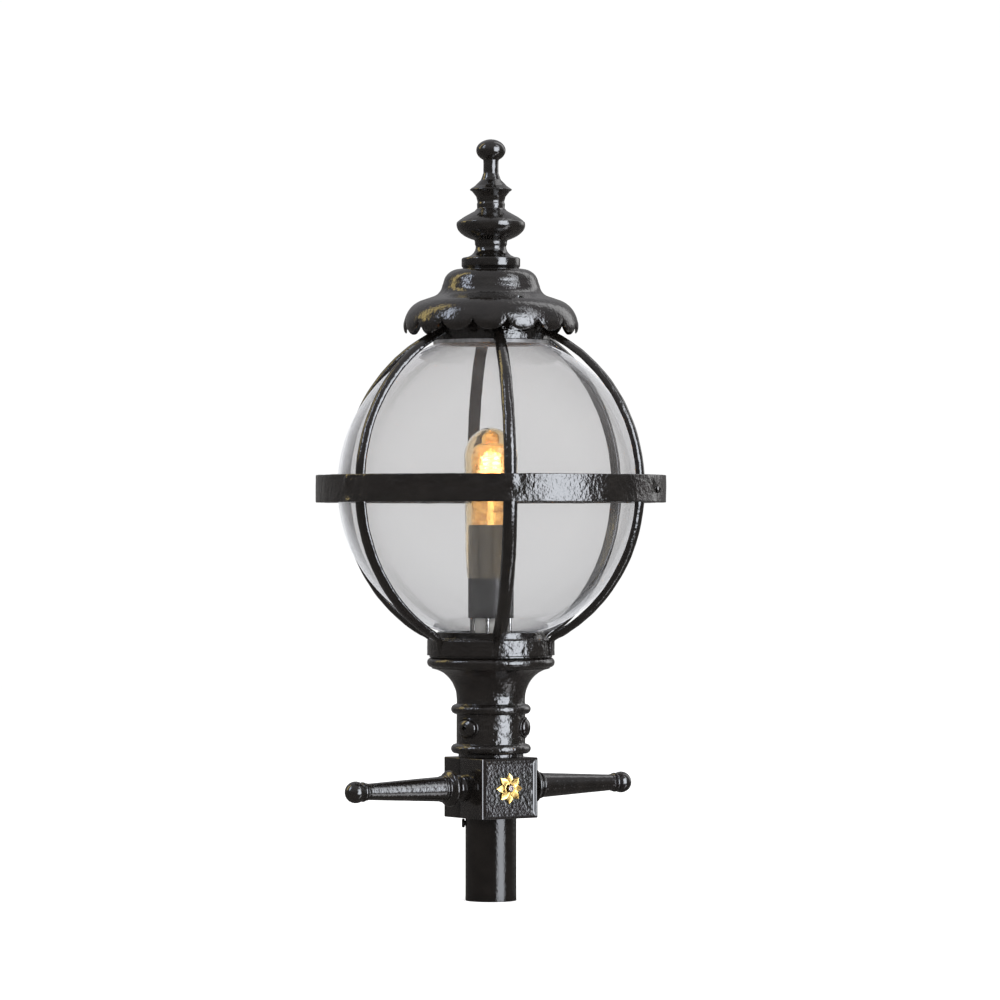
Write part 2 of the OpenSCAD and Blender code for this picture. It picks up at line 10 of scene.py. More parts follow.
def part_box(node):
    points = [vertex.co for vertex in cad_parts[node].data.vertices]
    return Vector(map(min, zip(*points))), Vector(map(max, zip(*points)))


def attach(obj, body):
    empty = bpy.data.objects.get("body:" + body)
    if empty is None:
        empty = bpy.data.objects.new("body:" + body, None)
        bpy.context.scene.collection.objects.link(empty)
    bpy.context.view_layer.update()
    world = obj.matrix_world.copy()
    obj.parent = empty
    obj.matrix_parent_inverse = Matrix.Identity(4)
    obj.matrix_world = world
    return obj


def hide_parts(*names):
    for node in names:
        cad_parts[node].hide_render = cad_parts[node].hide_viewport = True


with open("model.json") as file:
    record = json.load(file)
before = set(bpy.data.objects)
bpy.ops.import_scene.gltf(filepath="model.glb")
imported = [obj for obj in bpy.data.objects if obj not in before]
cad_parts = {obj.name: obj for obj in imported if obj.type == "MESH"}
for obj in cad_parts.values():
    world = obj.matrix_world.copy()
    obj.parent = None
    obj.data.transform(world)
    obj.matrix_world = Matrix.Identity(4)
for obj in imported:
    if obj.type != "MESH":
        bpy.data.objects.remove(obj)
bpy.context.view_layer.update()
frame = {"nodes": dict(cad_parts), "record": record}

# Lengths in this script are millimetres; meshes are scaled to metres when they are made.
MM = 0.001
BASE, TOP, LAMP = "lantern_base", "lantern_top", "lamp"


# ---------- places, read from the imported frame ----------

def low(node):
    """A CAD node's lowest corner in millimetres."""
    return [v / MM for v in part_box(node)[0]]


def high(node):
    """A CAD node's highest corner in millimetres."""
    return [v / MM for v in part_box(node)[1]]


def heights(node):
    """A CAD node's bottom and top in millimetres."""
    return low(node)[2], high(node)[2]


def rim_radius(node, z):
    """The largest radius about Z that a CAD node's mesh has at a height, in millimetres."""
    co = np.array([v.co for v in frame["nodes"][node].data.vertices]) / MM
    level = co[np.abs(co[:, 2] - z) < 0.05]
    return float(np.hypot(level[:, 0], level[:, 1]).max())


def bearing(x, y):
    """Direction of a point about Z, in degrees from -Y towards +X."""
    return degrees(atan2(x, -y))


# The lantern's turn on its post, from the bearing that the hinge would have without it
HINGE = next(j for j in frame["record"]["behaviour"]["joints"] if j["name"] == "top_hinge")
HINGE_UNTURNED = 150
TURN = bearing(*HINGE["pos_m"][:2]) - HINGE_UNTURNED

BLOCK_Z, BLOCK_TOP = heights("block_front")
BLOCK_MID = (BLOCK_Z + BLOCK_TOP) / 2
SIDE = high("block_front")[0]
TALL = (BLOCK_TOP - BLOCK_Z) / 2
SEAM = high("block_front")[1]
POST_R = high("post_tube")[0]
SEAT_Z = high("post_tube")[2]
COLLAR_TOP = high("lantern_collar")[2]
# The lower ribs' feet reach this far below the drum's top
FOOT_DROP = 24.5
DRUM_TOP = low("lower_ribs")[2] + FOOT_DROP
DRUM_R = high("drum_ring")[0]
LIP_TOP = high("drum_ring")[2]
GLASS_TOP, GLASS_BOTTOM = high("upper_globe")[2], low("lower_globe")[2]
R_TOP, R_BOTTOM = rim_radius("upper_globe", GLASS_TOP), rim_radius("lower_globe", GLASS_BOTTOM)
GLOBE_Z = (R_TOP ** 2 + GLASS_TOP ** 2 - R_BOTTOM ** 2 - GLASS_BOTTOM ** 2) / (2 * (GLASS_TOP - GLASS_BOTTOM))
GLOBE_R = hypot(R_TOP, GLASS_TOP - GLOBE_Z)
BAND_Z, BAND_TOP = heights("band")
BAND_R = high("band")[0]
RING_R = high("lower_ring")[0]
UPPER_RING_TOP = high("upper_ring")[2]
SPLIT_LOW, SPLIT_HIGH = high("lower_globe")[2], low("upper_globe")[2]
TOP_RING_Z, TOP_RING_TOP = heights("top_ring")
TOP_RING_R = rim_radius("top_ring", TOP_RING_Z)
FRILL_Z, RIM_Z = heights("canopy_frill")
FRILL_R = high("canopy_frill")[0]
DOME_TOP = high("canopy")[2]
TIP_Z = high("finial")[2]
SLEEVE_Z, SLEEVE_TOP = heights("lamp_sleeve")
SLEEVE_R = high("lamp_sleeve")[0]
CHIMNEY_Z, CHIMNEY_TOP = heights("lamp_chimney")
CHIMNEY_R = high("lamp_chimney")[0]
BULB_Z, BULB_TOP = heights("lamp_bulb")
BULB_R = high("lamp_bulb")[0]
BOSS_Z = sum(heights("collar_screws")) / 2
ROSETTE_Z = sum(heights("rosette")) / 2
ROSETTE_R = high("rosette")[0]
FIELD_Y = high("rosette")[1]
BALL_END = high("arm_right")[0]

# What the CAD also holds and its boxes don't show
GLOBE_WALL = 3.0
RIB_T = 10.0
POST_SCREW_B = -124.6
# Hoops of the cage: inner radius, and centre from the globe's centre
UPPER_HOOP = (242.2, -7.0, 2.8)
LOWER_HOOP = (240.6, -5.3, -2.2)
RIB_BEARINGS = [TURN - 30 + 60 * k for k in range(6)]
BOSS_BEARINGS = [TURN + b for b in (-79.5, 40.5, 160.5)]
PIT_BEARINGS = [TURN + b for b in (-131.5, -11.5, 108.5)]
PIT_R, PIT_SEAT = 100.0, GLOBE_Z + 274.5
LUG_R, LUG_T, LUG_ROOT = 9.0, 8.0, 84.0
LOBES = 16
FIRST_CUSP = TURN - 3.7


# ---------- outlines ----------

def arc(x, z, rx, rz, a0, a1, n=8):
    """Points along an ellipse about (x, z) between two angles in degrees."""
    turns = [radians(a0 + (a1 - a0) * i / n) for i in range(n + 1)]
    return [(x + rx * cos(a), z + rz * sin(a)) for a in turns]


def fillet(points, radius, closed=True, least=24, steps=4):
    """The outline with every corner sharper than least degrees rounded."""
    out, count = [], len(points)
    for i, p in enumerate(points):
        if not closed and i in (0, count - 1):
            out.append(p)
            continue
        p = np.array(p, float)
        a, c = np.array(points[i - 1], float), np.array(points[(i + 1) % count], float)
        u, v = a - p, c - p
        lu, lv = np.linalg.norm(u), np.linalg.norm(v)
        if lu < 1e-6 or lv < 1e-6:
            continue
        u, v = u / lu, v / lv
        bend = 180 - degrees(acos(max(-1, min(1, float(u @ v)))))
        if bend < least:
            out.append(tuple(p))
            continue
        reach = min(radius * tan(radians(bend / 2)), 0.42 * lu, 0.42 * lv)
        start, end = p + u * reach, p + v * reach
        for k in range(steps + 1):
            t = k / steps
            q = start * (1 - t) ** 2 + p * 2 * t * (1 - t) + end * t ** 2
            out.append((float(q[0]), float(q[1])))
    return out


def snapped(points):
    """The outline with points that are a hair off the axis put on it."""
    return [(r if r > 1e-6 else 0.0, z) for r, z in points]


def bezier(points, t):
    """The place at t along a curve with three control points."""
    shares = ((1 - t) ** 2, 2 * t * (1 - t), t * t)
    return [sum(c * p[axis] for c, p in zip(shares, points)) for axis in (0, 1)]


def divide(points, step, closed=True):
    """The outline with its long runs divided, so that no run is longer than step."""
    out, count = [], len(points)
    for i in range(count if closed else count - 1):
        a, b = np.array(points[i], float), np.array(points[(i + 1) % count], float)
        parts = max(1, ceil(np.linalg.norm(b - a) / step))
        out += [tuple(a + (b - a) * k / parts) for k in range(parts)]
    if not closed:
        out.append(tuple(points[-1]))
    return out


# ---------- meshes ----------

def lathe(outline, segments, bumps=None):
    """Vertices and faces of an outline in r and z turned about Z. Points on the axis become poles."""
    rows, verts, faces = [], [], []
    for r, z in outline:
        if r < 1e-6:
            rows.append([len(verts)])
            verts.append((0.0, 0.0, z))
            continue
        rows.append(list(range(len(verts), len(verts) + segments)))
        for k in range(segments):
            a = 2 * pi * k / segments
            q = r + (bumps(a, r, z) if bumps else 0.0)
            verts.append((q * cos(a), q * sin(a), z))
    on_axis = outline[0][0] < 1e-6 and outline[-1][0] < 1e-6
    for i in range(len(rows) - (1 if on_axis else 0)):
        low_row, high_row = rows[i], rows[(i + 1) % len(rows)]
        for k in range(segments):
            m = (k + 1) % segments
            if len(low_row) == 1 and len(high_row) == 1:
                break
            if len(low_row) == 1:
                faces.append((low_row[0], high_row[m], high_row[k]))
            elif len(high_row) == 1:
                faces.append((low_row[k], low_row[m], high_row[0]))
            else:
                faces.append((low_row[k], low_row[m], high_row[m], high_row[k]))
    return verts, faces


def loft(loops):
    """Vertices and faces of a skin, capped at both ends, over closed loops with the same number of points."""
    size, verts, faces = len(loops[0]), [p for loop in loops for p in loop], []
    for i in range(len(loops) - 1):
        for k in range(size):
            m = (k + 1) % size
            faces.append((i * size + k, i * size + m, (i + 1) * size + m, (i + 1) * size + k))
    faces.append(tuple(reversed(range(size))))
    faces.append(tuple(range((len(loops) - 1) * size, len(loops) * size)))
    return verts, faces


def shade(me, crease):
    """Smooth shading but for edges sharper than crease degrees."""
    me.polygons.foreach_set("use_smooth", [True] * len(me.polygons))
    me.set_sharp_from_angle(angle=radians(crease))


def mesh_of(name, verts, faces, crease=35):
    """A mesh in metres with outward faces, smooth but for edges sharper than crease degrees."""
    me = bpy.data.meshes.new(name)
    me.from_pydata([tuple(c * MM for c in v) for v in verts], [], faces)
    tidy = bmesh.new()
    tidy.from_mesh(me)
    bmesh.ops.remove_doubles(tidy, verts=tidy.verts, dist=1e-6)
    bmesh.ops.recalc_face_normals(tidy, faces=tidy.faces)
    tidy.to_mesh(me)
    tidy.free()
    shade(me, crease)
    return me


def new_object(name, data):
    """An object for a mesh, light or camera, linked to the scene."""
    obj = bpy.data.objects.new(name, data)
    bpy.context.collection.objects.link(obj)
    return obj


def piece(name, shape, body, material, nodes=(), crease=35):
    """An object that rides on a body, stands for CAD nodes and takes a material slot."""
    obj = new_object(name, mesh_of(name, *shape, crease))
    obj.data.materials.append(material)
    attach(obj, body)
    if nodes:
        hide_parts(*nodes)
    return obj


def place(shape, move):
    """The shape with every vertex moved by a function."""
    return [move(v) for v in shape[0]], shape[1]


def join(*shapes):
    """Several shapes as one."""
    verts, faces = [], []
    for v, f in shapes:
        shift = len(verts)
        verts += list(v)
        faces += [tuple(i + shift for i in face) for face in f]
    return verts, faces


def ripple(point, size, seed, octaves=2):
    """Smooth noise from -1 to 1 at a point, with lumps of the given size in millimetres."""
    p = Vector(point) / size + Vector((seed, seed * 1.7, seed * 0.3))
    total, weight = 0.0, 0.0
    for k in range(octaves):
        share = 0.5 ** k
        total += share * noise.noise(p * (2.1 ** k))
        weight += share
    return total / weight


def hammer(obj, height, size, seed, where=None, octaves=2):
    """Moves the vertices along their normals into shallow cast or hammered lumps."""
    me = obj.data
    normals = [n.vector.copy() for n in me.vertex_normals]
    for v, n in zip(me.vertices, normals):
        p = v.co / MM
        share = where(p, n) if where else 1.0
        if share:
            v.co += n * (height * MM * share * ripple(p, size, seed, octaves))
    me.update()


def cut(obj, tools):
    """Takes closed shapes out of an object's mesh."""
    tool = new_object("tool", mesh_of("tool", *join(*tools)))
    step = obj.modifiers.new("cut", "BOOLEAN")
    step.operation, step.solver, step.object = "DIFFERENCE", "EXACT", tool
    bpy.context.view_layer.update()
    graph = bpy.context.evaluated_depsgraph_get()
    done = bpy.data.meshes.new_from_object(obj.evaluated_get(graph))
    obj.modifiers.remove(step)
    old, obj.data = obj.data, done
    done.name = obj.name
    bpy.data.meshes.remove(old)
    bpy.data.objects.remove(tool)
    shade(done, 30)


def out_at(b):
    """Unit direction at bearing b."""
    return sin(radians(b)), -cos(radians(b))


def radially(b, z):
    """Takes a lathe's Z to the direction of bearing b, at a height."""
    ux, uy = out_at(b)
    return lambda v: (v[2] * ux - v[0] * uy, v[2] * uy + v[0] * ux, z + v[1])


def upright(b, r):
    """Takes a lathe to bearing b and distance r from the axis."""
    ux, uy = out_at(b)
    return lambda v: (r * ux + v[0], r * uy + v[1], v[2])


# ---------- materials ----------

def add(tree, kind, wires=None, **settings):
    """A shader node, with its settings, and with values or other nodes' outputs on its inputs."""
    node = tree.nodes.new("ShaderNode" + kind)
    for key, value in settings.items():
        setattr(node, key, value)
    for key, value in (wires or {}).items():
        if isinstance(value, bpy.types.NodeSocket):
            tree.links.new(value, node.inputs[key])
        else:
            node.inputs[key].default_value = value
    return node


def maths(tree, operation, *values):
    return add(tree, "Math", dict(enumerate(values)), operation=operation).outputs[0]


def vectors(tree, operation, *values):
    return add(tree, "VectorMath", dict(enumerate(values)), operation=operation).outputs[0]


def blank(name):
    """An empty material, its tree and its object coordinates."""
    mat = bpy.data.materials.new(name)
    mat.use_nodes = True
    mat.node_tree.nodes.clear()
    return mat, mat.node_tree, add(mat.node_tree, "TexCoord").outputs["Object"]


def finish_with(tree, socket):
    add(tree, "OutputMaterial", {"Surface": socket})


def noise_at(tree, where, scale, detail=3.0, rough=0.5):
    wires = {"Vector": where, "Scale": scale, "Detail": detail, "Roughness": rough}
    return add(tree, "TexNoise", wires).outputs["Fac"]


def stretched(tree, where, x, y, z):
    return add(tree, "Mapping", {"Vector": where, "Scale": (x, y, z)}).outputs["Vector"]


def spread(tree, value, out_low, out_high, in_low=0.3, in_high=0.7):
    wires = {"Value": value, "From Min": in_low, "From Max": in_high, "To Min": out_low, "To Max": out_high}
    return add(tree, "MapRange", wires).outputs["Result"]


def tones(tree, value, *stops):
    """A colour ramp from pairs of place and colour."""
    ramp = add(tree, "ValToRGB", {"Fac": value})
    parts = ramp.color_ramp.elements
    while len(parts) < len(stops):
        parts.new(0.5)
    for part, (where, colour) in zip(parts, stops):
        part.position, part.color = where, (*colour, 1)
    return ramp.outputs["Color"]


def raised(tree, value, depth, strength=1.0, under=None):
    wires = {"Height": value, "Distance": depth, "Strength": strength}
    if under is not None:
        wires["Normal"] = under
    return add(tree, "Bump", wires).outputs["Normal"]


def within_frame(tree, where):
    """1 on the block's sunk field, falling to a little on the frame round it."""
    parts = add(tree, "SeparateXYZ", {0: where}).outputs
    across = maths(tree, "ABSOLUTE", parts[0])
    level = maths(tree, "SUBTRACT", parts[2], BLOCK_MID * MM)
    up = maths(tree, "ABSOLUTE", level)
    far = maths(tree, "MAXIMUM", across, up)
    return spread(tree, far, 1.0, 0.12, (SIDE - 9.5) * MM, (SIDE - 8.0) * MM)


def paint(name, lump=160.0, depth=0.00035, rough=(0.07, 0.16), grain=420.0, fine=0.2, coat=0.6, ior=1.5,
          framed=False):
    """Thick gloss black paint on cast iron: near black, with orange peel and soft lumps."""
    mat, tree, where = blank(name)
    strength = within_frame(tree, where) if framed else 1.0
    colour = tones(tree, noise_at(tree, where, 38.0, 4.0),
                   (0.3, (0.0052, 0.0044, 0.004)), (0.7, (0.0095, 0.0081, 0.0072)))
    lumps = raised(tree, noise_at(tree, where, lump, 2.0), depth, strength)
    peel = raised(tree, noise_at(tree, where, grain, 2.0), depth * fine, strength, lumps)
    shine = spread(tree, noise_at(tree, where, 60.0, 4.0), *rough)
    shader = add(tree, "BsdfPrincipled", {
        "Base Color": colour, "Roughness": shine, "Normal": peel, "IOR": ior,
        "Coat Weight": coat, "Coat Roughness": 0.05, "Coat Normal": peel})
    finish_with(tree, shader.outputs[0])
    return mat


def metal(name, dark, light, rough=(0.2, 0.4), scale=90.0, depth=0.00008, metallic=1.0, streaks=(1, 1, 1)):
    """Metal or plain moulding with cloudy colour and uneven gloss."""
    mat, tree, where = blank(name)
    run = stretched(tree, where, *streaks)
    cloud = noise_at(tree, run, scale, 5.0, 0.6)
    shader = add(tree, "BsdfPrincipled", {
        "Base Color": tones(tree, cloud, (0.32, dark), (0.68, light)),
        "Roughness": spread(tree, noise_at(tree, run, scale * 0.6), *rough),
        "Normal": raised(tree, noise_at(tree, run, scale * 4), depth),
        "Metallic": metallic, "IOR": 1.5})
    finish_with(tree, shader.outputs[0])
    return mat


def gilding():
    """Gold leaf over a cast rosette, darkened by the hollow mask: black paint between the petals, painted
    shade in the hollows.
    """
    mat, tree, where = blank("gilt_leaf")
    # The hollow mask carries both the black paint between the petals and painted shade in the petal middles
    # and round the centre.
    hollow = add(tree, "Attribute", attribute_name="hollow").outputs["Fac"]
    gold = tones(tree, noise_at(tree, where, 260.0, 4.0),
                 (0.3, (0.62, 0.36, 0.09)), (0.7, (0.92, 0.66, 0.24)))
    mixed = add(tree, "Mix", {0: spread(tree, hollow, 0.0, 1.0, 0.15, 0.75)}, data_type="RGBA")
    tree.links.new(gold, mixed.inputs[6])
    # Dark brown where the hollow mask is high: black paint between petals, painted shade in the hollows.
    mixed.inputs[7].default_value = (0.035, 0.018, 0.008, 1)
    shader = add(tree, "BsdfPrincipled", {
        "Base Color": mixed.outputs[2],
        "Roughness": spread(tree, noise_at(tree, where, 300.0), 0.2, 0.42),
        "Normal": raised(tree, noise_at(tree, where, 900.0), 0.0002), "Metallic": 1.0})
    finish_with(tree, shader.outputs[0])
    return mat


def sheet_glass(name, tint, haze, gloss):
    """Thin glass seen straight through, with a grey tint, a trace of haze and a mirror at grazing angles."""
    mat, tree, where = blank(name)
    cloud = noise_at(tree, where, 9.0)
    waves = raised(tree, noise_at(tree, where, 14.0, 2.0), 0.0009)
    facing = add(tree, "LayerWeight", {"Blend": 0.5, "Normal": waves}).outputs["Facing"]
    uneven = spread(tree, cloud, -0.02, 0.02)
    depth = maths(tree, "ADD", facing, uneven)
    dimmed = tones(tree, depth, (0.2, tint), (0.75, tuple(c * 0.95 for c in tint)))
    clear = add(tree, "BsdfTransparent", {"Color": dimmed}).outputs[0]
    film = add(tree, "BsdfDiffuse", {"Color": (0.9, 0.9, 0.92, 1)}).outputs[0]
    hazy = add(tree, "MixShader", {0: haze, 1: clear, 2: film}).outputs[0]
    steep = maths(tree, "POWER", facing, 5.0)
    share = maths(tree, "MULTIPLY", steep, gloss)
    wires = {"Color": (0.96, 0.97, 1, 1), "Roughness": 0.0, "Normal": waves}
    mirror = add(tree, "BsdfGlossy", wires).outputs[0]
    finish_with(tree, add(tree, "MixShader", {0: share, 1: hazy, 2: mirror}).outputs[0])
    return mat


def lamp_glass(name, tint, glow, wave, scale):
    """Real bending glass, for the chimney and the lamp."""
    mat, tree, where = blank(name)
    cloud = noise_at(tree, where, scale)
    wires = {
        "Base Color": tones(tree, cloud, (0.3, tuple(c * 0.93 for c in tint)), (0.7, tint)),
        "Roughness": 0.0, "IOR": 1.46, "Transmission Weight": 1.0,
        "Normal": raised(tree, noise_at(tree, where, scale * 1.6, 2.0), wave)}
    if glow:
        warm = noise_at(tree, stretched(tree, where, 1, 1, 2.2), 70.0)
        wires["Emission Color"] = tones(tree, warm, (0.42, glow[0]), (0.64, glow[1]))
        wires["Emission Strength"] = glow[2]
    finish_with(tree, add(tree, "BsdfPrincipled", wires).outputs[0])
    return mat


def hot_filament(name, dark, light, strength):
    """Glowing lamp wire or core, with uneven brightness from stretched noise."""
    mat, tree, where = blank(name)
    glow = noise_at(tree, stretched(tree, where, 1, 1, 3.0), 60.0)
    shader = add(tree, "BsdfPrincipled", {
        "Base Color": (0.9, 0.7, 0.4, 1), "Roughness": 0.5,
        "Emission Color": tones(tree, glow, (0.3, dark), (0.65, light)),
        "Emission Strength": strength})
    finish_with(tree, shader.outputs[0])
    return mat


CAST = paint("cast_black", lump=150.0, depth=0.0006)
COARSE = paint("hammered_black", lump=165.0, depth=0.0011, rough=(0.06, 0.13), fine=0.16)
HAMMERED = paint("speckled_black", lump=210.0, depth=0.00055, rough=(0.05, 0.11), grain=480.0)
FIELD = paint(
    "block_black", lump=240.0, depth=0.00046, rough=(0.05, 0.11), grain=600.0, fine=0.12, framed=True)
SMOOTH = paint("tube_black", lump=260.0, depth=0.0003, rough=(0.07, 0.14), coat=0.0, ior=1.42)
TURNED = paint("turned_black", lump=150.0, depth=0.00045, rough=(0.07, 0.15))
DARK_STEEL = metal("dark_steel", (0.05, 0.05, 0.05), (0.12, 0.115, 0.11), (0.25, 0.4))
BRIGHT = metal("bright_steel", (0.42, 0.41, 0.4), (0.72, 0.71, 0.69), (0.15, 0.32), 200.0)
DULL = metal("dull_steel", (0.16, 0.135, 0.13), (0.4, 0.35, 0.34), (0.25, 0.45), 260.0)
CAP = metal("cap_brass", (0.5, 0.36, 0.14), (0.72, 0.55, 0.25), (0.2, 0.35))
ALLOY = metal("plain_alloy", (0.5, 0.5, 0.5), (0.64, 0.64, 0.63), (0.35, 0.5), 40.0)
SLEEVE = metal(
    "sleeve_grey", (0.03, 0.028, 0.028), (0.062, 0.059, 0.058), (0.34, 0.5), 40.0, 0.00012, 0.35,
    (1, 1, 0.08))
CERAMIC = metal("holder_ceramic", (0.7, 0.69, 0.66), (0.8, 0.79, 0.77), (0.25, 0.4), 60.0, 0.00005, 0.0)
GREY_PLASTIC = metal(
    "gland_plastic", (0.12, 0.12, 0.125), (0.17, 0.17, 0.175), (0.4, 0.55), 120.0, 0.00005, 0.0)
WHITE_PLASTIC = metal(
    "terminal_plastic", (0.68, 0.68, 0.66), (0.78, 0.78, 0.77), (0.35, 0.5), 120.0, 0.00005, 0.0)
RUBBER = metal("seal_rubber", (0.012, 0.012, 0.012), (0.024, 0.023, 0.022), (0.6, 0.8), 150.0, 0.0001, 0.0)
SILICONE = metal("pale_seal", (0.13, 0.13, 0.135), (0.24, 0.24, 0.245), (0.25, 0.4), 150.0, 0.0001, 0.0)
GILT = gilding()
SMOKE = sheet_glass("smoke_glass", (0.873, 0.873, 0.875), 0.018, 0.85)
CLEAR = lamp_glass("chimney_glass", (1.0, 0.88, 0.68), None, 0.0005, 45.0)
AMBER = lamp_glass(
    "amber_glass", (1.0, 0.8, 0.55), ((0.12, 0.05, 0.01), (1.0, 0.72, 0.32), 0.2), 0.0016, 130.0)
COIL = hot_filament("lamp_coil", (1.0, 0.9, 0.72), (1.0, 0.98, 0.94), 2.2)
CORE = hot_filament("lamp_core_glow", (1.0, 0.66, 0.3), (1.0, 0.88, 0.6), 0.95)

for material, nodes in (
        (CAST, "post_screw collar_screws lower_ring hinge_bracket hinge_lug upper_ring canopy_pillars"),
        (BRIGHT, "block_bolts drum_screws hinge_pin plate_screws lamp_studs finial_stud finial_nut"),
        (DARK_STEEL, "canopy_screws lock_screw"), (ALLOY, "lamp_plate"), (GREY_PLASTIC, "cable_gland"),
        (RUBBER, "lower_globe_seal lower_ring_seal upper_ring_seal"), (SILICONE, "upper_globe_seal"),
        (WHITE_PLASTIC, "terminal_block"), (CERAMIC, "lamp_holder"), (CAP, "lamp_cap")):
    for node in nodes.split():
        for held in frame["nodes"][node].material_slots:
            held.material = material


# ---------- post and ladder rest ----------

# The tube's bore is a little narrower above the step
POST_WALL, POST_WALL_HIGH, POST_STEP_Z = 3.5, 4.0, 100.0
post_line = [
    (POST_R - POST_WALL, 0), (POST_R, 0), (POST_R, SEAT_Z), (POST_R - POST_WALL_HIGH, SEAT_Z),
    (POST_R - POST_WALL_HIGH, POST_STEP_Z), (POST_R - POST_WALL, POST_STEP_Z)]
piece("post_skin", lathe(divide(fillet(post_line, 0.6), 12), 192), BASE, SMOOTH, ["post_tube"])

# Button head of the screw in the post: r against the distance from the post's axis
button_line = (
    [(0, POST_R - 6), (3.9, POST_R - 6), (3.9, POST_R + 0.9), (6.2, POST_R + 0.9)]
    + arc(4.4, POST_R + 3.1, 2.4, 2.3, -30, 90) + [(0, POST_R + 5.4)]
)
button_z = sum(heights("post_screw")) / 2
button = place(lathe(fillet(button_line, 0.3, False), 48), radially(POST_SCREW_B, button_z))
piece("post_screw_button", button, BASE, CAST, ["post_screw"])


def square_loop(wide, tall, y, corner, per_side=26):
    """A rounded rectangle in the XZ plane about the block's middle, at a given Y."""
    points = []
    for quarter in range(4):
        sx, sz = [(1, 1), (-1, 1), (-1, -1), (1, -1)][quarter]
        cx, cz = sx * (wide - corner), sz * (tall - corner)
        for k in range(5):
            a = radians(90 * quarter + 90 * k / 4)
            points.append((cx + corner * cos(a), cz + corner * sin(a)))
    dense = []
    for i, p in enumerate(points):
        q = points[(i + 1) % len(points)]
        parts = per_side if i % 5 == 4 else 1
        dense += [(p[0] + (q[0] - p[0]) * k / parts, p[1] + (q[1] - p[1]) * k / parts) for k in range(parts)]
    return [(x, y, BLOCK_MID + z) for x, z in dense]


BORE = POST_R + 0.4
# Recesses for the clamp bolts' heads: radius, and the two distances from the block's middle plane
BOLT_REACH, BOLT_HOLE_R, BOLT_HOLE = 5, 5.4, (41, 55)


def block_half(name, node, face, seam, sign):
    """One casting of the block: stepped border round a hammered field. sign is -1 towards -Y."""
    step, depth, corner = 4.0, 1.25, 1.4

    def at(inset, into, radius):
        return square_loop(SIDE - inset, TALL - inset, face - sign * into, radius)

    # The seam's edge is chamfered; then the side, the rounded front edge and two steps down to the field
    loops = [square_loop(SIDE - bevel, TALL - bevel, seam + sign * up, corner)
             for bevel, up in ((0.8, 0), (0.15, 0.7), (0, 1.3))]
    loops += [at(0, into, corner) for into in (30, 12, 3, 1.2)]
    loops += [at(0.12, 0.55, corner), at(0.42, 0.15, 1.3), at(0.95, 0, 1.2)]
    loops += [at(step - 0.9, 0, 1.0), at(step - 0.25, 0.2, 1.0)]
    loops += [at(step, depth - 0.3, 0.9), at(step + 0.5, depth, 0.9)]
    loops += [at(2 * step - 0.9, depth, 0.9), at(2 * step - 0.25, depth + 0.2, 0.8)]
    loops += [at(2 * step, 2 * depth - 0.3, 0.8), at(2 * step + 0.5, 2 * depth, 0.8)]
    inset = 2 * step + 2.0
    while inset < TALL - 2:
        loops.append(at(inset, 2 * depth, min(0.8, TALL - inset - 0.5)))
        inset += 1.6
    loops.append(at(TALL - 1.2, 2 * depth, 0.4))
    obj = piece(name, loft(loops), BASE, FIELD, [node], crease=50)
    floor_y = face - sign * 2 * depth

    def on_field(p, n):
        inside = abs(p.x) < SIDE - 9 and abs(p.z - BLOCK_MID) < TALL - 9
        return 1.0 if inside and abs(p.y - floor_y) < 0.3 else 0.1

    hammer(obj, 0.16, 5.0, 3.1, on_field, 2)
    tools = [lathe([(0, BLOCK_Z - 5), (BORE, BLOCK_Z - 5), (BORE, BLOCK_TOP + 5), (0, BLOCK_TOP + 5)], 96)]
    if sign > 0:
        near, far = BOLT_HOLE
        hole = lathe([(0, near), (BOLT_HOLE_R, near), (BOLT_HOLE_R, far), (0, far)], 32)
        for x in (low("block_bolts")[0] + BOLT_REACH, high("block_bolts")[0] - BOLT_REACH):
            for z in (low("block_bolts")[2] + BOLT_REACH, high("block_bolts")[2] - BOLT_REACH):
                tools.append(place(hole, lambda v, x=x, z=z: (x + v[0], v[2], z - v[1])))
    cut(obj, tools)


block_half("block_front_casting", "block_front", -SIDE, SEAM, -1)
block_half("block_rear_casting", "block_rear", SIDE, SEAM + 0.2, 1)


def petal(angle, reach, wide, lift):
    """A pointed petal with raised edges and a hollow middle, in the rosette's plane."""
    rows, cols, start = 22, 12, 4.0
    top, hollow = [], []
    for i in range(rows + 1):
        u = i / rows
        half = wide * (sin(pi * min(1, u * 0.62 + 0.22)) ** 1.2) * (1 - u ** 5) + 0.12
        for k in range(cols + 1):
            v = -1 + 2 * k / cols
            along = start + (reach - start) * u
            rim = abs(v) ** 2.2
            height = lift + 0.8 * rim * (1 - 0.45 * u) + 0.9 * sin(pi * u) - 1.0 * (u ** 3)
            height -= 2.2 * max(0.0, abs(v) - 0.86) / 0.14
            top.append((along, v * half, max(0.15, height)))
            # Painted shade: the mask rises in the petal's hollow middle. Its edges and tip are the black
            # paint between petals.
            middle = 0.5 * max(0.0, 1 - rim * 1.6) * max(0.0, sin(pi * min(1, u * 1.2)))
            hollow.append(max(middle, 1.0 if abs(v) > 0.9 or u > 0.97 else 0.0))
    c, s = cos(radians(angle)), sin(radians(angle))

    def turn(p, z):
        return p[0] * c - p[1] * s, p[0] * s + p[1] * c, z

    verts = [turn(p, p[2]) for p in top] + [turn(p, 0.0) for p in top]
    n, size, faces = cols + 1, (rows + 1) * (cols + 1), []
    for i in range(rows):
        for k in range(cols):
            a = i * n + k
            faces.append((a, a + 1, a + n + 1, a + n))
            faces.append((size + a, size + a + n, size + a + n + 1, size + a + 1))
    rim_path = list(range(n)) + [i * n + cols for i in range(1, rows + 1)]
    rim_path += [rows * n + k for k in range(cols - 1, -1, -1)] + [i * n for i in range(rows - 1, 0, -1)]
    for i, a in enumerate(rim_path):
        b = rim_path[(i + 1) % len(rim_path)]
        faces.append((a, size + a, size + b, b))
    return verts, faces, hollow + [0.3] * size


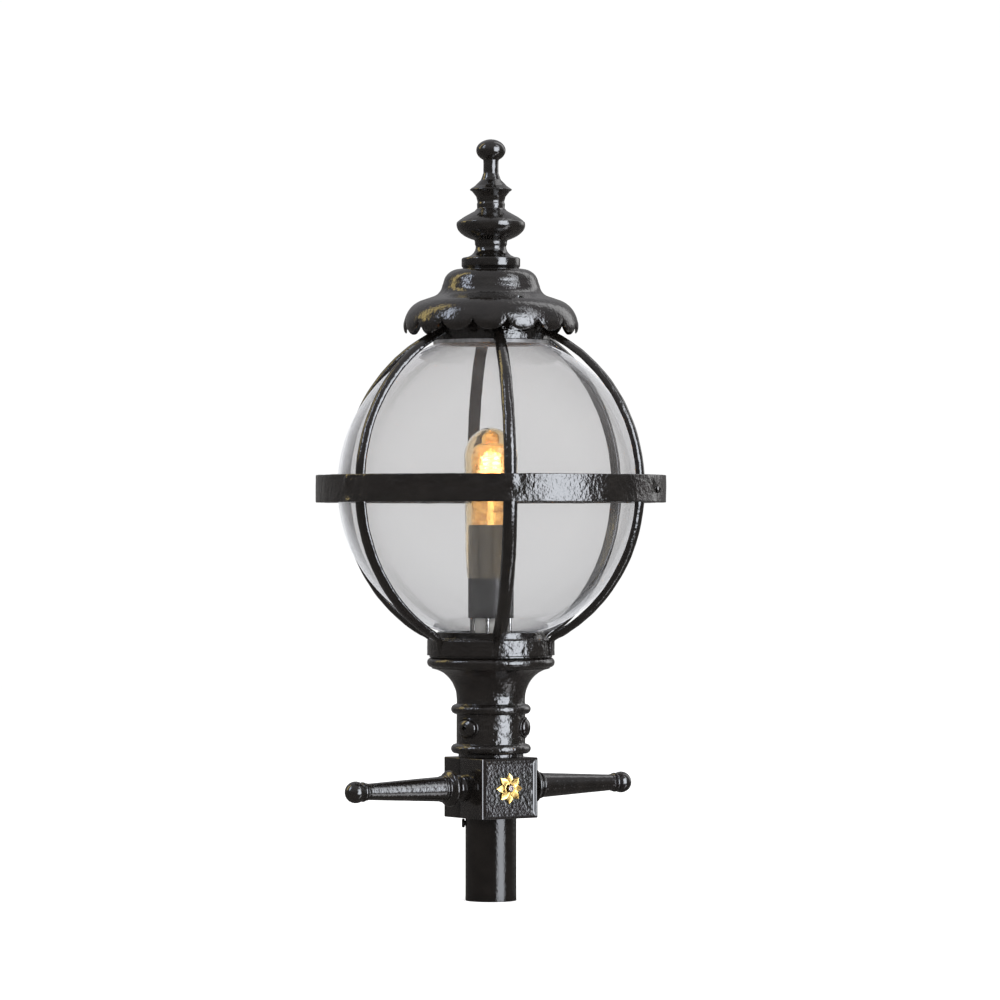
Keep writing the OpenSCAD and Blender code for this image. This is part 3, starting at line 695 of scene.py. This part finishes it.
def rosette():
    """Eight petals and a beaded ring, cast in one piece and gilded."""
    shapes, hollow = [], []
    for k in range(8):
        v, f, h = petal(k * 45 + 90, ROSETTE_R, 6.6, 1.0 + 0.8 * (k % 2))
        shapes.append((v, f))
        hollow += h
    seat = [(0, 0), (9.6, 0), (9.6, 1.6), (9.0, 2.6), (8.0, 2.9), (7.4, 2.3), (6.8, 2.2), (0, 2.2)]
    outline = divide(fillet(seat, 0.4, False), 1.0, False)
    v, f = lathe(outline, 64, lambda a, r, z: 0.35 * cos(16 * a) if r > 7 else 0.0)
    # Painted shade round the rosette's sunk centre, through the hollow mask.
    hollow += [0.75 if hypot(p[0], p[1]) < 7.2 else 0.1 for p in v]
    verts, faces = place(join(*shapes, (v, f)), lambda v: (v[0], FIELD_Y - v[2], ROSETTE_Z + v[1]))
    obj = piece("rosette_leaf", (verts, faces), BASE, GILT, ["rosette"], 50)
    obj.data.attributes.new("hollow", "FLOAT", "POINT").data.foreach_set("value", hollow)


rosette()

# Socket-headed screw: r against the distance out from under its head
HEAD_Y = FIELD_Y - 3.5
head = (
    [(0, -11), (3, -11), (3, 0), (5, 0), (5, 1.6)] + arc(3.6, 1.6, 1.4, 1.4, 10, 90, 4)
    + [(2.4, 3.0), (2.0, 1.4), (0, 1.4)])
screw = place(lathe(fillet(head, 0.3, False), 48), lambda v: (v[0], HEAD_Y - v[2], ROSETTE_Z + v[1]))
piece("rosette_screw_head", screw, BASE, DULL, ["rosette_screw"])

# Turned arm: r against the distance from the block's side
BALL_R = 16.0
BALL_T = BALL_END - SIDE - BALL_R
TAPER_END = BALL_T - 19.4
arm_line = (
    [(0, -9), (7, -9), (7, 0), (20, 0), (20, 4.5)] + arc(26, 12.5, 9.5, 8, 230, 130) + [(23, 20.6)]
    + arc(23.5, 24.5, 3.5, 3.6, -80, 80) + arc(25, 32, 6.4, 3.6, 220, 140) + arc(17, 37.5, 3, 3, -60, 60)
    + [(18.5, 41), (12, TAPER_END), (12.8, TAPER_END), (12.8, TAPER_END + 3)]
    + arc(11, TAPER_END + 7, 3.6, 3.9, -80, 65) + arc(0, BALL_T, BALL_R, BALL_R, -33, 90, 20)
)
arm_shape = lathe(divide(fillet(snapped(arm_line), 0.7, False), 4, False), 96)
for side, node in ((1, "arm_right"), (-1, "arm_left")):
    shape = place(arm_shape, lambda v, s=side: (s * (SIDE + v[2]), s * v[0], BLOCK_MID + v[1]))
    arm = piece(node + "_turned", shape, BASE, TURNED, [node])
    hammer(arm, 0.16, 14, 5 + side)


# ---------- collar and drum ----------

# Heights of the collar's three beads over the block, and the middle of its flare
BEAD_1, BEAD_2, BEAD_3 = BLOCK_TOP + 12.7, BLOCK_TOP + 71.5, BLOCK_TOP + 141.3
FLARE_X, COLLAR_HOLE, COLLAR_PLATE = 93, 62, 6
collar_line = (
    [(BORE, BLOCK_TOP), (48.5, BLOCK_TOP), (48.5, BLOCK_TOP + 5.6)] + arc(52.4, BEAD_1, 7.1, 7.1, -90, 90, 12)
    + [(51.3, BLOCK_TOP + 19.9), (51.3, BLOCK_TOP + 64.2)] + arc(52.2, BEAD_2, 7.2, 7.2, -90, 90, 12)
    + [(51, BLOCK_TOP + 80)] + arc(FLARE_X, SEAT_Z, 42, 46, 180, 98, 18)
    + arc(87.6, BEAD_3, 7.4, 7.4, -80, 85, 12)
    + [(91.5, BLOCK_TOP + 148.9), (91.5, COLLAR_TOP), (COLLAR_HOLE, COLLAR_TOP)]
    + [(COLLAR_HOLE, COLLAR_TOP - COLLAR_PLATE), (80, COLLAR_TOP - COLLAR_PLATE)]
    + arc(FLARE_X, SEAT_Z, 48, 52, 106, 172, 14)
    + [(POST_R - POST_WALL_HIGH, SEAT_Z + 6), (POST_R - POST_WALL_HIGH, SEAT_Z), (BORE, SEAT_Z)]
)
collar_shape = lathe(divide(fillet(collar_line, 0.9), 2.6), 224)
collar = piece("collar_casting", collar_shape, BASE, COARSE, ["lantern_collar"])
hammer(collar, 0.5, 9, 1.3, lambda p, n: 1.0 if hypot(p.x, p.y) > 46 else 0.0, 3)

# Oval bosses, bent round the collar; r and distance from the lantern's axis
BOSS_FACE, GRUB_R, BOSS_WIDE = 59.6, 3.0, 1.25
boss_line = (
    [(GRUB_R + 0.2, 46), (16, 46), (16, BOSS_FACE - 7.4)] + arc(14.6, BOSS_FACE - 7.4, 1.4, 1.7, 0, 80, 4)
    + [(13.8, BOSS_FACE - 7.8), (13.1, BOSS_FACE - 7.8)]
    + arc(0, BOSS_FACE - 6.2, 12.9, 6.2, -6, 76, 12) + [(GRUB_R + 0.2, BOSS_FACE - 0.3)]
)
boss_shape = lathe(divide(fillet(boss_line, 0.5), 1.6), 72)


def wrapped(b):
    """Bends a lathe round Z, so that it stands out at bearing b at the bosses' height."""
    def move(v):
        ux, uy = out_at(b + degrees(BOSS_WIDE * v[0] / 52))
        return v[2] * ux, v[2] * uy, BOSS_Z + v[1]
    return move


for k, b in enumerate(BOSS_BEARINGS):
    boss = piece("collar_boss_%d" % (k + 1), place(boss_shape, wrapped(b)), BASE, CAST)
    hammer(boss, 0.18, 8, 2 + k)

# The drum's upstand, the shelf inside it under the globe's seal, its floor and the hole for the wires
LIP_OUT, LIP_IN, SHELF_IN, SHELF_HIGH, SHELF_LOW = 80, 75.5, 62, 14, 20
DRUM_FLOOR, DRUM_HOLE, DRUM_EDGE = 6, 12, 4
drum_line = (
    [(DRUM_HOLE, COLLAR_TOP), (DRUM_R, COLLAR_TOP)]
    + arc(DRUM_R - DRUM_EDGE, DRUM_TOP - DRUM_EDGE, DRUM_EDGE, DRUM_EDGE, 0, 90, 6)
    + [(LIP_OUT, DRUM_TOP), (LIP_OUT, LIP_TOP), (LIP_IN, LIP_TOP), (LIP_IN, LIP_TOP - SHELF_HIGH)]
    + [(SHELF_IN, LIP_TOP - SHELF_HIGH), (SHELF_IN, LIP_TOP - SHELF_LOW), (LIP_IN, LIP_TOP - SHELF_LOW)]
    + [(LIP_IN, COLLAR_TOP + DRUM_FLOOR), (DRUM_HOLE, COLLAR_TOP + DRUM_FLOOR)]
)
drum = piece("drum_casting", lathe(divide(fillet(drum_line, 0.8), 2.4), 256), BASE, COARSE, ["drum_ring"])
hammer(drum, 0.62, 8, 6.2, lambda p, n: 1.0 if hypot(p.x, p.y) > 78 else 0.0, 3)


# ---------- cage ----------

def section(width, thick, n=18):
    """A rib's cross-section, as pairs of offset across and offset outwards: flat inside, domed outside."""
    points = [(-0.47, 0.0), (0.47, 0.0)]
    points += [(0.5 * sin(a), 0.12 + 0.88 * cos(a))
               for a in [radians(88 - 176 * k / n) for k in range(n + 1)]]
    return [(x * width, y * thick) for x, y in fillet(points, 0.06, True, 30, 3)]


def rib(path, b):
    """A bar along a path of (r, z, width, thickness) in the upright plane at bearing b."""
    ux, uy = out_at(b)
    loops = []
    for i, (r, z, width, thick) in enumerate(path):
        r0, z0 = path[max(0, i - 1)][:2]
        r1, z1 = path[min(len(path) - 1, i + 1)][:2]
        length = hypot(r1 - r0, z1 - z0)
        nr, nz = (z1 - z0) / length, -(r1 - r0) / length
        loop = []
        for across, out in section(width, thick):
            q, h = r + nr * out, z + nz * out
            loop.append((q * ux - across * uy, q * uy + across * ux, h))
        loops.append(loop)
    return loft(loops)


def hoop_path(hoop, t0, t1, width, n=70):
    radius, x, z = hoop
    steps = [radians(t0 + (t1 - t0) * i / n) for i in range(n + 1)]
    return [(x + radius * cos(t), GLOBE_Z + z + radius * sin(t), width, RIB_T) for t in steps]


def hoop_angle(hoop, z):
    """Where along a hoop its inner edge is at a height, in degrees."""
    return degrees(asin((z - GLOBE_Z - hoop[2]) / hoop[0]))


UPPER_W, LOWER_W = 18.0, 21.0
upper_end = degrees(acos((TOP_RING_R - 6 - UPPER_HOOP[1]) / (UPPER_HOOP[0] + 2)))
upper_path = hoop_path(UPPER_HOOP, hoop_angle(UPPER_HOOP, UPPER_RING_TOP - 1), upper_end, UPPER_W)
ribs = join(*[rib(upper_path, b) for b in RIB_BEARINGS])
upper = piece("upper_rib_bars", ribs, TOP, CAST, ["upper_ribs"], crease=60)
hammer(upper, 0.7, 22, 8.4, None, 2)

# A lower rib leaves its hoop, turns down onto the drum, and dwindles to its tip
TURN_START, FOOT_R, FOOT_W, FOOT_T, TIP_W, TIP_T = -61.5, DRUM_R - 0.8, 12.0, 5.0, 2.5, 2.4
foot = hoop_path(LOWER_HOOP, hoop_angle(LOWER_HOOP, BAND_Z + 1), TURN_START, LOWER_W)
foot_turn = [foot[-1][:2], (DRUM_R + 0.4, DRUM_TOP + 3.5), (FOOT_R, DRUM_TOP - 7)]
for t in [k / 12 for k in range(1, 13)]:
    foot.append((*bezier(foot_turn, t), LOWER_W - (LOWER_W - FOOT_W) * t, RIB_T - (RIB_T - FOOT_T) * t))
for t in [k / 8 for k in range(1, 9)]:
    z = DRUM_TOP - 7 - (DRUM_TOP - 8 - COLLAR_TOP) * t
    foot.append((FOOT_R, z, FOOT_W - (FOOT_W - TIP_W) * t, FOOT_T - (FOOT_T - TIP_T) * t))
foot.reverse()
ribs = join(*[rib(foot, b) for b in RIB_BEARINGS])
lower = piece("lower_rib_bars", ribs, BASE, CAST, ["lower_ribs"], crease=60)
hammer(lower, 0.7, 22, 9.9, None, 2)

band_line = [(RING_R, BAND_Z), (BAND_R - 0.5, BAND_Z), (BAND_R - 0.5, BAND_TOP), (RING_R, BAND_TOP)]
band = piece("band_strip", lathe(divide(fillet(band_line, 1.2), 2.6), 640), BASE, COARSE, ["band"])


def band_lumps(p, n):
    return 1.0 if hypot(p.x, p.y) > RING_R + 2 else 0.25


hammer(band, 0.9, 26, 4.4, band_lumps, 3)
BULGE, BULGE_W = 2.2, 8.5
for v in band.data.vertices:
    p = v.co / MM
    if hypot(p.x, p.y) < RING_R + 2:
        continue
    for b in RIB_BEARINGS:
        off = radians((bearing(p.x, p.y) - b + 180) % 360 - 180) * BAND_R
        level = (p.z - BAND_Z) / (BAND_TOP - BAND_Z)
        width = BULGE_W * (1.35 - 0.75 * level)
        if abs(off) < 3 * width:
            swell = BULGE * exp(-(off / width) ** 2) * (0.55 + 0.45 * cos(2.4 * pi * level + 0.6))
            v.co.x += v.co.x / hypot(v.co.x, v.co.y) * swell * MM
            v.co.y += v.co.y / hypot(v.co.x, v.co.y) * swell * MM


# ---------- globe ----------

def globe_line(z0, z1, n=72):
    """Outline of the glass wall between two heights, with its rims rounded."""
    inner = GLOBE_R - GLOBE_WALL

    def side(r, low_z, high_z):
        start, end = asin((low_z - GLOBE_Z) / r), asin((high_z - GLOBE_Z) / r)
        turns = [start + (end - start) * k / n for k in range(n + 1)]
        return [(r * cos(a), GLOBE_Z + r * sin(a)) for a in turns]

    return fillet(side(GLOBE_R, z0, z1) + side(inner, z1, z0), 0.8)


for name, node, body, z0, z1 in (
        ("lower_glass", "lower_globe", BASE, GLASS_BOTTOM, SPLIT_LOW),
        ("upper_glass", "upper_globe", TOP, SPLIT_HIGH, GLASS_TOP)):
    glass = piece(name, lathe(globe_line(z0, z1), 256), body, SMOKE, [node], 60)
    glass.visible_shadow = False


# ---------- lamp ----------

SLEEVE_WALL, SLEEVE_FLOOR, SLEEVE_HOLE = 2, 2.5, 24.1
sleeve_line = [
    (SLEEVE_HOLE, SLEEVE_Z), (SLEEVE_R, SLEEVE_Z), (SLEEVE_R, SLEEVE_TOP),
    (SLEEVE_R - SLEEVE_WALL, SLEEVE_TOP), (SLEEVE_R - SLEEVE_WALL, SLEEVE_Z + SLEEVE_FLOOR),
    (SLEEVE_HOLE, SLEEVE_Z + SLEEVE_FLOOR)]
sleeve_shape = lathe(divide(fillet(sleeve_line, 0.5), 6), 128)
piece("lamp_sleeve_can", sleeve_shape, BASE, SLEEVE, ["lamp_sleeve"])

# The chimney's outline starts and ends on the axis, at the two skins of its crown
CROWN, CHIMNEY_WALL, TAPER_Z = 44.6, 2, CHIMNEY_Z + 36
crown_z = CHIMNEY_TOP - CROWN
chimney_line = snapped(
    [(SLEEVE_R + 0.1, CHIMNEY_Z), (35.5, CHIMNEY_Z), (38, TAPER_Z)]
    + arc(0, crown_z, CHIMNEY_R, CROWN, 0, 90, 24)
    + arc(0, crown_z, CHIMNEY_R - CHIMNEY_WALL, CROWN - CHIMNEY_WALL, 90, 0, 24)
    + [(38 - CHIMNEY_WALL, TAPER_Z)])
turn_at = next(i for i, p in enumerate(chimney_line) if p[0] == 0.0) + 1
chimney_shape = lathe(divide(chimney_line[turn_at:] + chimney_line[:turn_at], 5, False), 128)
chimney = piece("lamp_chimney_glass", chimney_shape, BASE, CLEAR, ["lamp_chimney"], 60)
chimney.visible_shadow = False

# The bulb: its outside from the cap up over the shoulder and the tip, and its inside back down
SHOULDER, WAIST = BULB_TOP - 39, GLOBE_Z - 80
SHOULDER_R, SHOULDER_H, BULB_TIP_R, BULB_TIP_H, BULB_WALL = 16, 20, 12.7, 12, 1.5
shoulder_x, tip_z = BULB_R - SHOULDER_R, SHOULDER + 27
bulb_line = snapped(
    [(0, BULB_Z), (12, BULB_Z), (18, BULB_Z + 30), (BULB_R, WAIST)]
    + arc(shoulder_x, SHOULDER, SHOULDER_R, SHOULDER_H, 0, 90, 14)
    + arc(0, tip_z, BULB_TIP_R, BULB_TIP_H, 0, 90, 12)
    + arc(0, tip_z, BULB_TIP_R - BULB_WALL, BULB_TIP_H - BULB_WALL, 90, 0, 12)
    + [(BULB_TIP_R - BULB_WALL, SHOULDER + 18.9)]
    + arc(shoulder_x, SHOULDER, SHOULDER_R - BULB_WALL, SHOULDER_H - BULB_WALL, 90, 0, 14)
    + [(BULB_R - BULB_WALL, WAIST), (18 - BULB_WALL, BULB_Z + 30), (11, BULB_Z + 2), (0, BULB_Z + 2)])
outer_end = next(i for i, p in enumerate(bulb_line) if i > 0 and p[0] == 0.0) + 1
bulb_outside = lathe(divide(bulb_line[:outer_end], 4, False), 96)
bulb_inside = lathe(divide(bulb_line[outer_end:], 4, False), 96)
bulb_shape = join(bulb_outside, bulb_inside)
bulb = piece("lamp_bulb_glass", bulb_shape, LAMP, AMBER, ["lamp_bulb"], 60)
# The inside's faces look into the hollow, so that the glass is only the wall between the two skins
for face in list(bulb.data.polygons)[len(bulb_outside[1]):]:
    face.flip()
bulb.visible_shadow = False


def helix(radius, wire, z0, z1, turns, per_turn=40, around=10):
    """A wire of round section wound about Z."""
    loops, count = [], int(turns * per_turn)
    for i in range(count + 1):
        t = i / count
        a = 2 * pi * turns * t
        swell = radius * (0.72 + 0.28 * sin(pi * min(1.0, t * 1.15)))
        x, y, z = swell * cos(a), swell * sin(a), z0 + (z1 - z0) * t
        loop = []
        for q in [2 * pi * k / around for k in range(around)]:
            out = wire * cos(q)
            loop.append((x + out * cos(a), y + out * sin(a), z + wire * sin(q)))
        loops.append(loop)
    return loft(loops)


CORE_Z, CORE_TOP = heights("lamp_core")
core_line = [
    (0, CORE_Z), (7, CORE_Z), (7.5, CORE_Z + 60), (5, CORE_Z + 78), (4.2, CORE_TOP - 10), (0, CORE_TOP)]
core_shape = lathe(divide(fillet(core_line, 3, False), 4, False), 48, lambda a, r, z: 0.5 * sin(z * 0.9))
piece("lamp_core_stem", core_shape, LAMP, CORE, ["lamp_core"])
piece("lamp_coil_wire", helix(18.0, 2.0, CORE_TOP - 76, CORE_TOP - 12, 9), LAMP, COIL, [])


# ---------- top ----------

# The top ring: an upright wall on a flange that turns in over the globe
WALL_IN, FLANGE_IN, FLANGE_T = 78, 70, 4
ring_line = [
    (FLANGE_IN, TOP_RING_Z), (TOP_RING_R, TOP_RING_Z), (TOP_RING_R, TOP_RING_TOP), (WALL_IN, TOP_RING_TOP),
    (WALL_IN, TOP_RING_Z + FLANGE_T), (FLANGE_IN, TOP_RING_Z + FLANGE_T)]


def lug(b):
    """An ear on the top ring, under one pillar of the canopy."""
    ux, uy = out_at(b)
    loops, soft, under = [], 0.8, TOP_RING_TOP - LUG_T
    for inset, z in ((soft, under), (0, under + soft), (0, TOP_RING_TOP - soft), (soft, TOP_RING_TOP)):
        r = LUG_R - inset
        plan = [(LUG_ROOT, -r)] + arc(PIT_R, 0, r, r, -90, 90, 16) + [(LUG_ROOT, r)]
        loops.append([(q * ux - w * uy, q * uy + w * ux, z) for q, w in plan])
    return loft(loops)


ring_shape = join(lathe(divide(fillet(ring_line, 1.0), 2.6), 224), *[lug(b) for b in PIT_BEARINGS])
top_ring = piece("top_ring_casting", ring_shape, TOP, COARSE, ["top_ring"])
hammer(top_ring, 0.45, 9, 7.7, lambda p, n: 1.0 if hypot(p.x, p.y) > 85 else 0.0, 3)


# The dome's lower curve, which the frill carries on: centre and radius
LIP_X, LIP_Z, LIP_R = 90.4, GLOBE_Z + 240.8, 39.2


def dome(t):
    """Outline of the canopy's dome, moved inwards by t."""
    return (arc(LIP_X, LIP_Z, LIP_R - t, LIP_R - t, 16.3, 68, 14)
            + arc(92.5, GLOBE_Z + 302.6, 20 + t, 20 + t, 250, 190, 10)
            + arc(48.3, GLOBE_Z + 301.8, 22.5 - t, 22.5 - t, 10, 90, 12))


DOME_T = 4.0
canopy_line = [(0, DOME_TOP - DOME_T)] + list(reversed(dome(DOME_T))) + dome(0) + [(0, DOME_TOP)]
canopy = piece("canopy_dome", lathe(divide(canopy_line, 2.6, False), 256), TOP, HAMMERED, ["canopy"])


def outer_skin(p, n):
    """Full on the dome's outside, fading towards the frill, and nothing on its inside and its flat top."""
    return min(1.0, (p.z - RIM_Z) / 8) if n.z > -0.4 and p.z < DOME_TOP - 1 else 0.0


hammer(canopy, 0.38, 9, 5.5, outer_skin, 3)
PIT_HOLE, SEAT_IN, SEAT_OUT = 5.8, 3, 7
pit = lathe([(0, PIT_SEAT), (PIT_HOLE, PIT_SEAT), (PIT_HOLE, DOME_TOP), (0, DOME_TOP)], 32)
cut(canopy, [place(pit, upright(b, PIT_R)) for b in PIT_BEARINGS])
seat_low, seat_high = PIT_SEAT - 8, PIT_SEAT + 0.6
seat_line = [(SEAT_IN, seat_low), (SEAT_OUT, seat_low), (SEAT_OUT, seat_high), (SEAT_IN, seat_high)]
for k, b in enumerate(PIT_BEARINGS):
    tube = place(lathe(fillet(seat_line, 0.3), 40), upright(b, PIT_R))
    piece("canopy_boss_%d" % (k + 1), tube, TOP, CAST)

LOBE_DEPTH, FRILL_T = 17.0, 3.5
CUSP_Z = FRILL_Z + LOBE_DEPTH


def frill(n=24, rows=12):
    """Sixteen cupped lobes that hang from the rim."""
    pitch = 360 / LOBES
    half = pi * FRILL_R / LOBES
    bend = (half * half + LOBE_DEPTH * LOBE_DEPTH) / (2 * LOBE_DEPTH)
    verts, faces = [], []
    for i in range(LOBES * n):
        u = -1 + 2 * (i % n) / n
        b = FIRST_CUSP + pitch * (i // n) + pitch * (u + 1) / 2
        drop = sqrt(max(0.0, bend * bend - (u * half) ** 2)) - (bend - LOBE_DEPTH)
        edge = CUSP_Z - max(0.0, drop)
        ux, uy = out_at(b)
        outside, inside = [], []
        for k in range(rows + 1):
            t = k / rows
            z = RIM_Z + (edge - RIM_Z) * t
            low_share = max(0.0, (CUSP_Z + 3 - z) / (CUSP_Z + 3 - FRILL_Z))
            cup = 0.9 * (1 - u * u) * sin(pi * min(1.0, low_share * 0.9))
            cup -= 0.9 * (abs(u) ** 3) * min(1.0, 2.2 * low_share)
            roll = 0.9 * max(0.0, (t - 0.85) / 0.15) ** 2
            r = LIP_X + sqrt(LIP_R ** 2 - (z - LIP_Z) ** 2) + 0.06 + cup - roll
            outside.append((r * ux, r * uy, z))
            r -= FRILL_T - 0.4 - 1.1 * roll
            inside.append((r * ux, r * uy, z))
        verts += outside + inside[::-1]
    count, size = LOBES * n, 2 * (rows + 1)
    for i in range(count):
        j = (i + 1) % count
        for k in range(size):
            m = (k + 1) % size
            faces.append((i * size + k, j * size + k, j * size + m, i * size + m))
    return verts, faces


lobes = piece("canopy_lobes", frill(), TOP, HAMMERED, ["canopy_frill"], crease=50)
hammer(lobes, 0.3, 7, 2.2, lambda p, n: min(1.0, (RIM_Z - p.z) / 6))

FIN_Z = TIP_Z - 191.5
finial_line = snapped(
    [(0, DOME_TOP), (41, DOME_TOP)]
    + arc(40.8, FIN_Z + 3, 3, 3, -60, 0, 3) + arc(40.8, FIN_Z + 12, 3, 3, 0, 80, 3)
    + arc(42, FIN_Z + 31.5, 19.3, 16.5, 260, 180, 14) + [(24, FIN_Z + 35), (24, FIN_Z + 38.5)]
    + arc(0, FIN_Z + 64, 51.3, 26, -61, 8, 22)
    + [(46.4, FIN_Z + 71.4), (40, FIN_Z + 75.8), (32, FIN_Z + 80.3)]
    + [(24.2, FIN_Z + 84.6), (20.6, FIN_Z + 88.4)]
    + arc(36, FIN_Z + 98.4, 16, 9.5, 200, 180, 2)
    + [(22, FIN_Z + 106), (28, FIN_Z + 113.5), (32.1, FIN_Z + 116.3), (24, FIN_Z + 122)]
    + [(15, FIN_Z + 131), (11.3, FIN_Z + 141), (11.3, FIN_Z + 158)]
    + arc(0, TIP_Z - 16.5, 21.9, 16.5, -58, 90, 24)
)
finial_shape = lathe(divide(fillet(finial_line, 1.6, False), 2.4, False), 160)
finial = piece("finial_turned", finial_shape, TOP, TURNED, ["finial"])
hammer(finial, 0.3, 11, 3.7, lambda p, n: 1.0 if p.z > DOME_TOP + 0.5 else 0.0, 3)


# ---------- floor, light and camera ----------

scene = bpy.context.scene
scene.view_settings.view_transform = "Standard"
scene.cycles.transparent_max_bounces = 32
# The camera's bearing, and its distance and height in metres
CAMERA_B, CAMERA_FAR, CAMERA_UP = -34.6, 6.71, 0.552
FLOOR_R, FLOOR_T = 9000, 20


def floor():
    """A pale round floor that the post stands on."""
    outline = divide([(0, 0), (FLOOR_R, 0)], 600, False) + [(FLOOR_R, -FLOOR_T), (0, -FLOOR_T)]
    obj = new_object("floor", mesh_of("floor", *lathe(outline, 96)))
    mat, tree, where = blank("pale_floor")
    tone = tones(tree, noise_at(tree, where, 3.0, 4.0), (0.3, (0.9, 0.9, 0.9)), (0.7, (0.94, 0.94, 0.94)))
    shader = add(tree, "BsdfPrincipled", {
        "Base Color": tone, "Roughness": 0.8, "Emission Color": (1, 1, 1, 1), "Emission Strength": 0.36,
        "Specular IOR Level": 0.0})
    finish_with(tree, shader.outputs[0])
    obj.data.materials.append(mat)
    obj.visible_glossy = False


floor()


def studio():
    """White all round for the eye; for reflections a dim room with a white wall behind and soft windows."""
    world = bpy.data.worlds.new("studio")
    scene.world = world
    world.use_nodes = True
    tree = world.node_tree
    tree.nodes.clear()
    ray = add(tree, "TexCoord").outputs["Generated"]
    parts = add(tree, "SeparateXYZ", {0: ray}).outputs
    heading = vectors(tree, "NORMALIZE", vectors(tree, "MULTIPLY", ray, (1, 1, 0)))

    def smooth(value, a, b):
        wires = {"Value": value, "From Min": a, "From Max": b, "To Min": 0.0, "To Max": 1.0}
        return add(tree, "MapRange", wires, interpolation_type="SMOOTHSTEP").outputs["Result"]

    def window(b, half, low_e, high_e, edge=4.0):
        """A soft-edged patch about bearing b, between two elevations in degrees."""
        ux, uy = out_at(b)
        dot = add(tree, "VectorMath", {0: heading, 1: (ux, uy, 0)}, operation="DOT_PRODUCT")
        outer, inner = radians(half + edge), radians(max(half - edge, 0.5))
        wide = smooth(dot.outputs["Value"], cos(outer), cos(inner))
        above = smooth(parts[2], sin(radians(low_e - edge)), sin(radians(low_e + edge)))
        top, bottom = radians(min(90, high_e + edge)), radians(min(89, high_e - edge))
        level = maths(tree, "MULTIPLY", above, smooth(parts[2], sin(top), sin(bottom)))
        return maths(tree, "MULTIPLY", wide, level)

    lights = [
        # White wall behind the lantern
        (window(CAMERA_B + 180, 46, -90, 90, 16), (1.15, 1.17, 1.2)),
        # Tall main window on the right, and its light above and below
        (window(CAMERA_B + 46, 15.5, -16, 34, 8), (8.8, 9.2, 9.9)),
        (window(CAMERA_B + 69, 6, 26, 60), (3.6, 3.7, 3.9)),
        (window(CAMERA_B + 69, 6, -60, -26), (2.6, 2.6, 2.7)),
        # Small cool and warm windows high on the left
        (window(CAMERA_B - 68, 5, 22, 54, 3), (6.0, 6.6, 7.8)),
        (window(CAMERA_B - 108, 7, 14, 58, 4), (2.9, 2.2, 0.75)),
        # Dim window towards the rear
        (window(CAMERA_B + 130, 12, 0, 70, 6), (1.2, 1.2, 1.2)),
    ]
    sky = vectors(tree, "MULTIPLY", smooth(parts[2], -0.2, 0.9), (0.34, 0.34, 0.36))
    total = vectors(tree, "ADD", sky, (0.11, 0.106, 0.103))
    for share, colour in lights:
        total = vectors(tree, "ADD", total, vectors(tree, "MULTIPLY", share, colour))
    room = add(tree, "Background", {"Color": total, "Strength": 1.0}).outputs[0]
    white = add(tree, "Background", {"Color": (1, 1, 1, 1), "Strength": 1.02}).outputs[0]
    path = add(tree, "LightPath").outputs
    rough_only = maths(tree, "SUBTRACT", path["Is Glossy Ray"], path["Is Singular Ray"])
    both_worlds = add(tree, "MixShader", {0: rough_only, 1: white, 2: room}).outputs[0]
    add(tree, "OutputWorld", {"Surface": both_worlds})


studio()


# The soft lamps' distance, width and aim over the floor in metres
SOFTBOX_FAR, SOFTBOX_WIDE, SOFTBOX_AIM = 3.0, 1.6, 0.55


def softbox(name, b, up, power):
    """A soft round lamp at bearing b and a height in metres, aimed at the globe."""
    ux, uy = out_at(b)
    data = bpy.data.lights.new(name, "AREA")
    data.shape, data.size, data.energy = "DISK", SOFTBOX_WIDE, power
    obj = new_object(name, data)
    obj.location = (ux * SOFTBOX_FAR, uy * SOFTBOX_FAR, up)
    obj.rotation_euler = (Vector((0, 0, SOFTBOX_AIM)) - obj.location).to_track_quat("-Z", "Y").to_euler()
    obj.visible_glossy = False
    obj.visible_camera = False


softbox("key", CAMERA_B + 45, 1.9, 55)
softbox("fill", CAMERA_B - 80, 1.6, 18)

glow = bpy.data.lights.new("lamp_glow", "POINT")
glow.energy, glow.color, glow.shadow_soft_size = 1.6, (1.0, 0.5, 0.16), 0.015
new_object("lamp_glow", glow).location = (0, 0, (BULB_TOP - 45) * MM)

camera = bpy.data.cameras.new("camera")
camera.lens, camera.sensor_width = 162.0, 36.0
camera.shift_x, camera.shift_y = 0.0091, 0.03
camera.clip_end = 60
eye = new_object("camera", camera)
ux, uy = out_at(CAMERA_B)
eye.location = (ux * CAMERA_FAR, uy * CAMERA_FAR, CAMERA_UP)
eye.rotation_euler = (radians(90), 0, radians(CAMERA_B))
scene.camera = eye
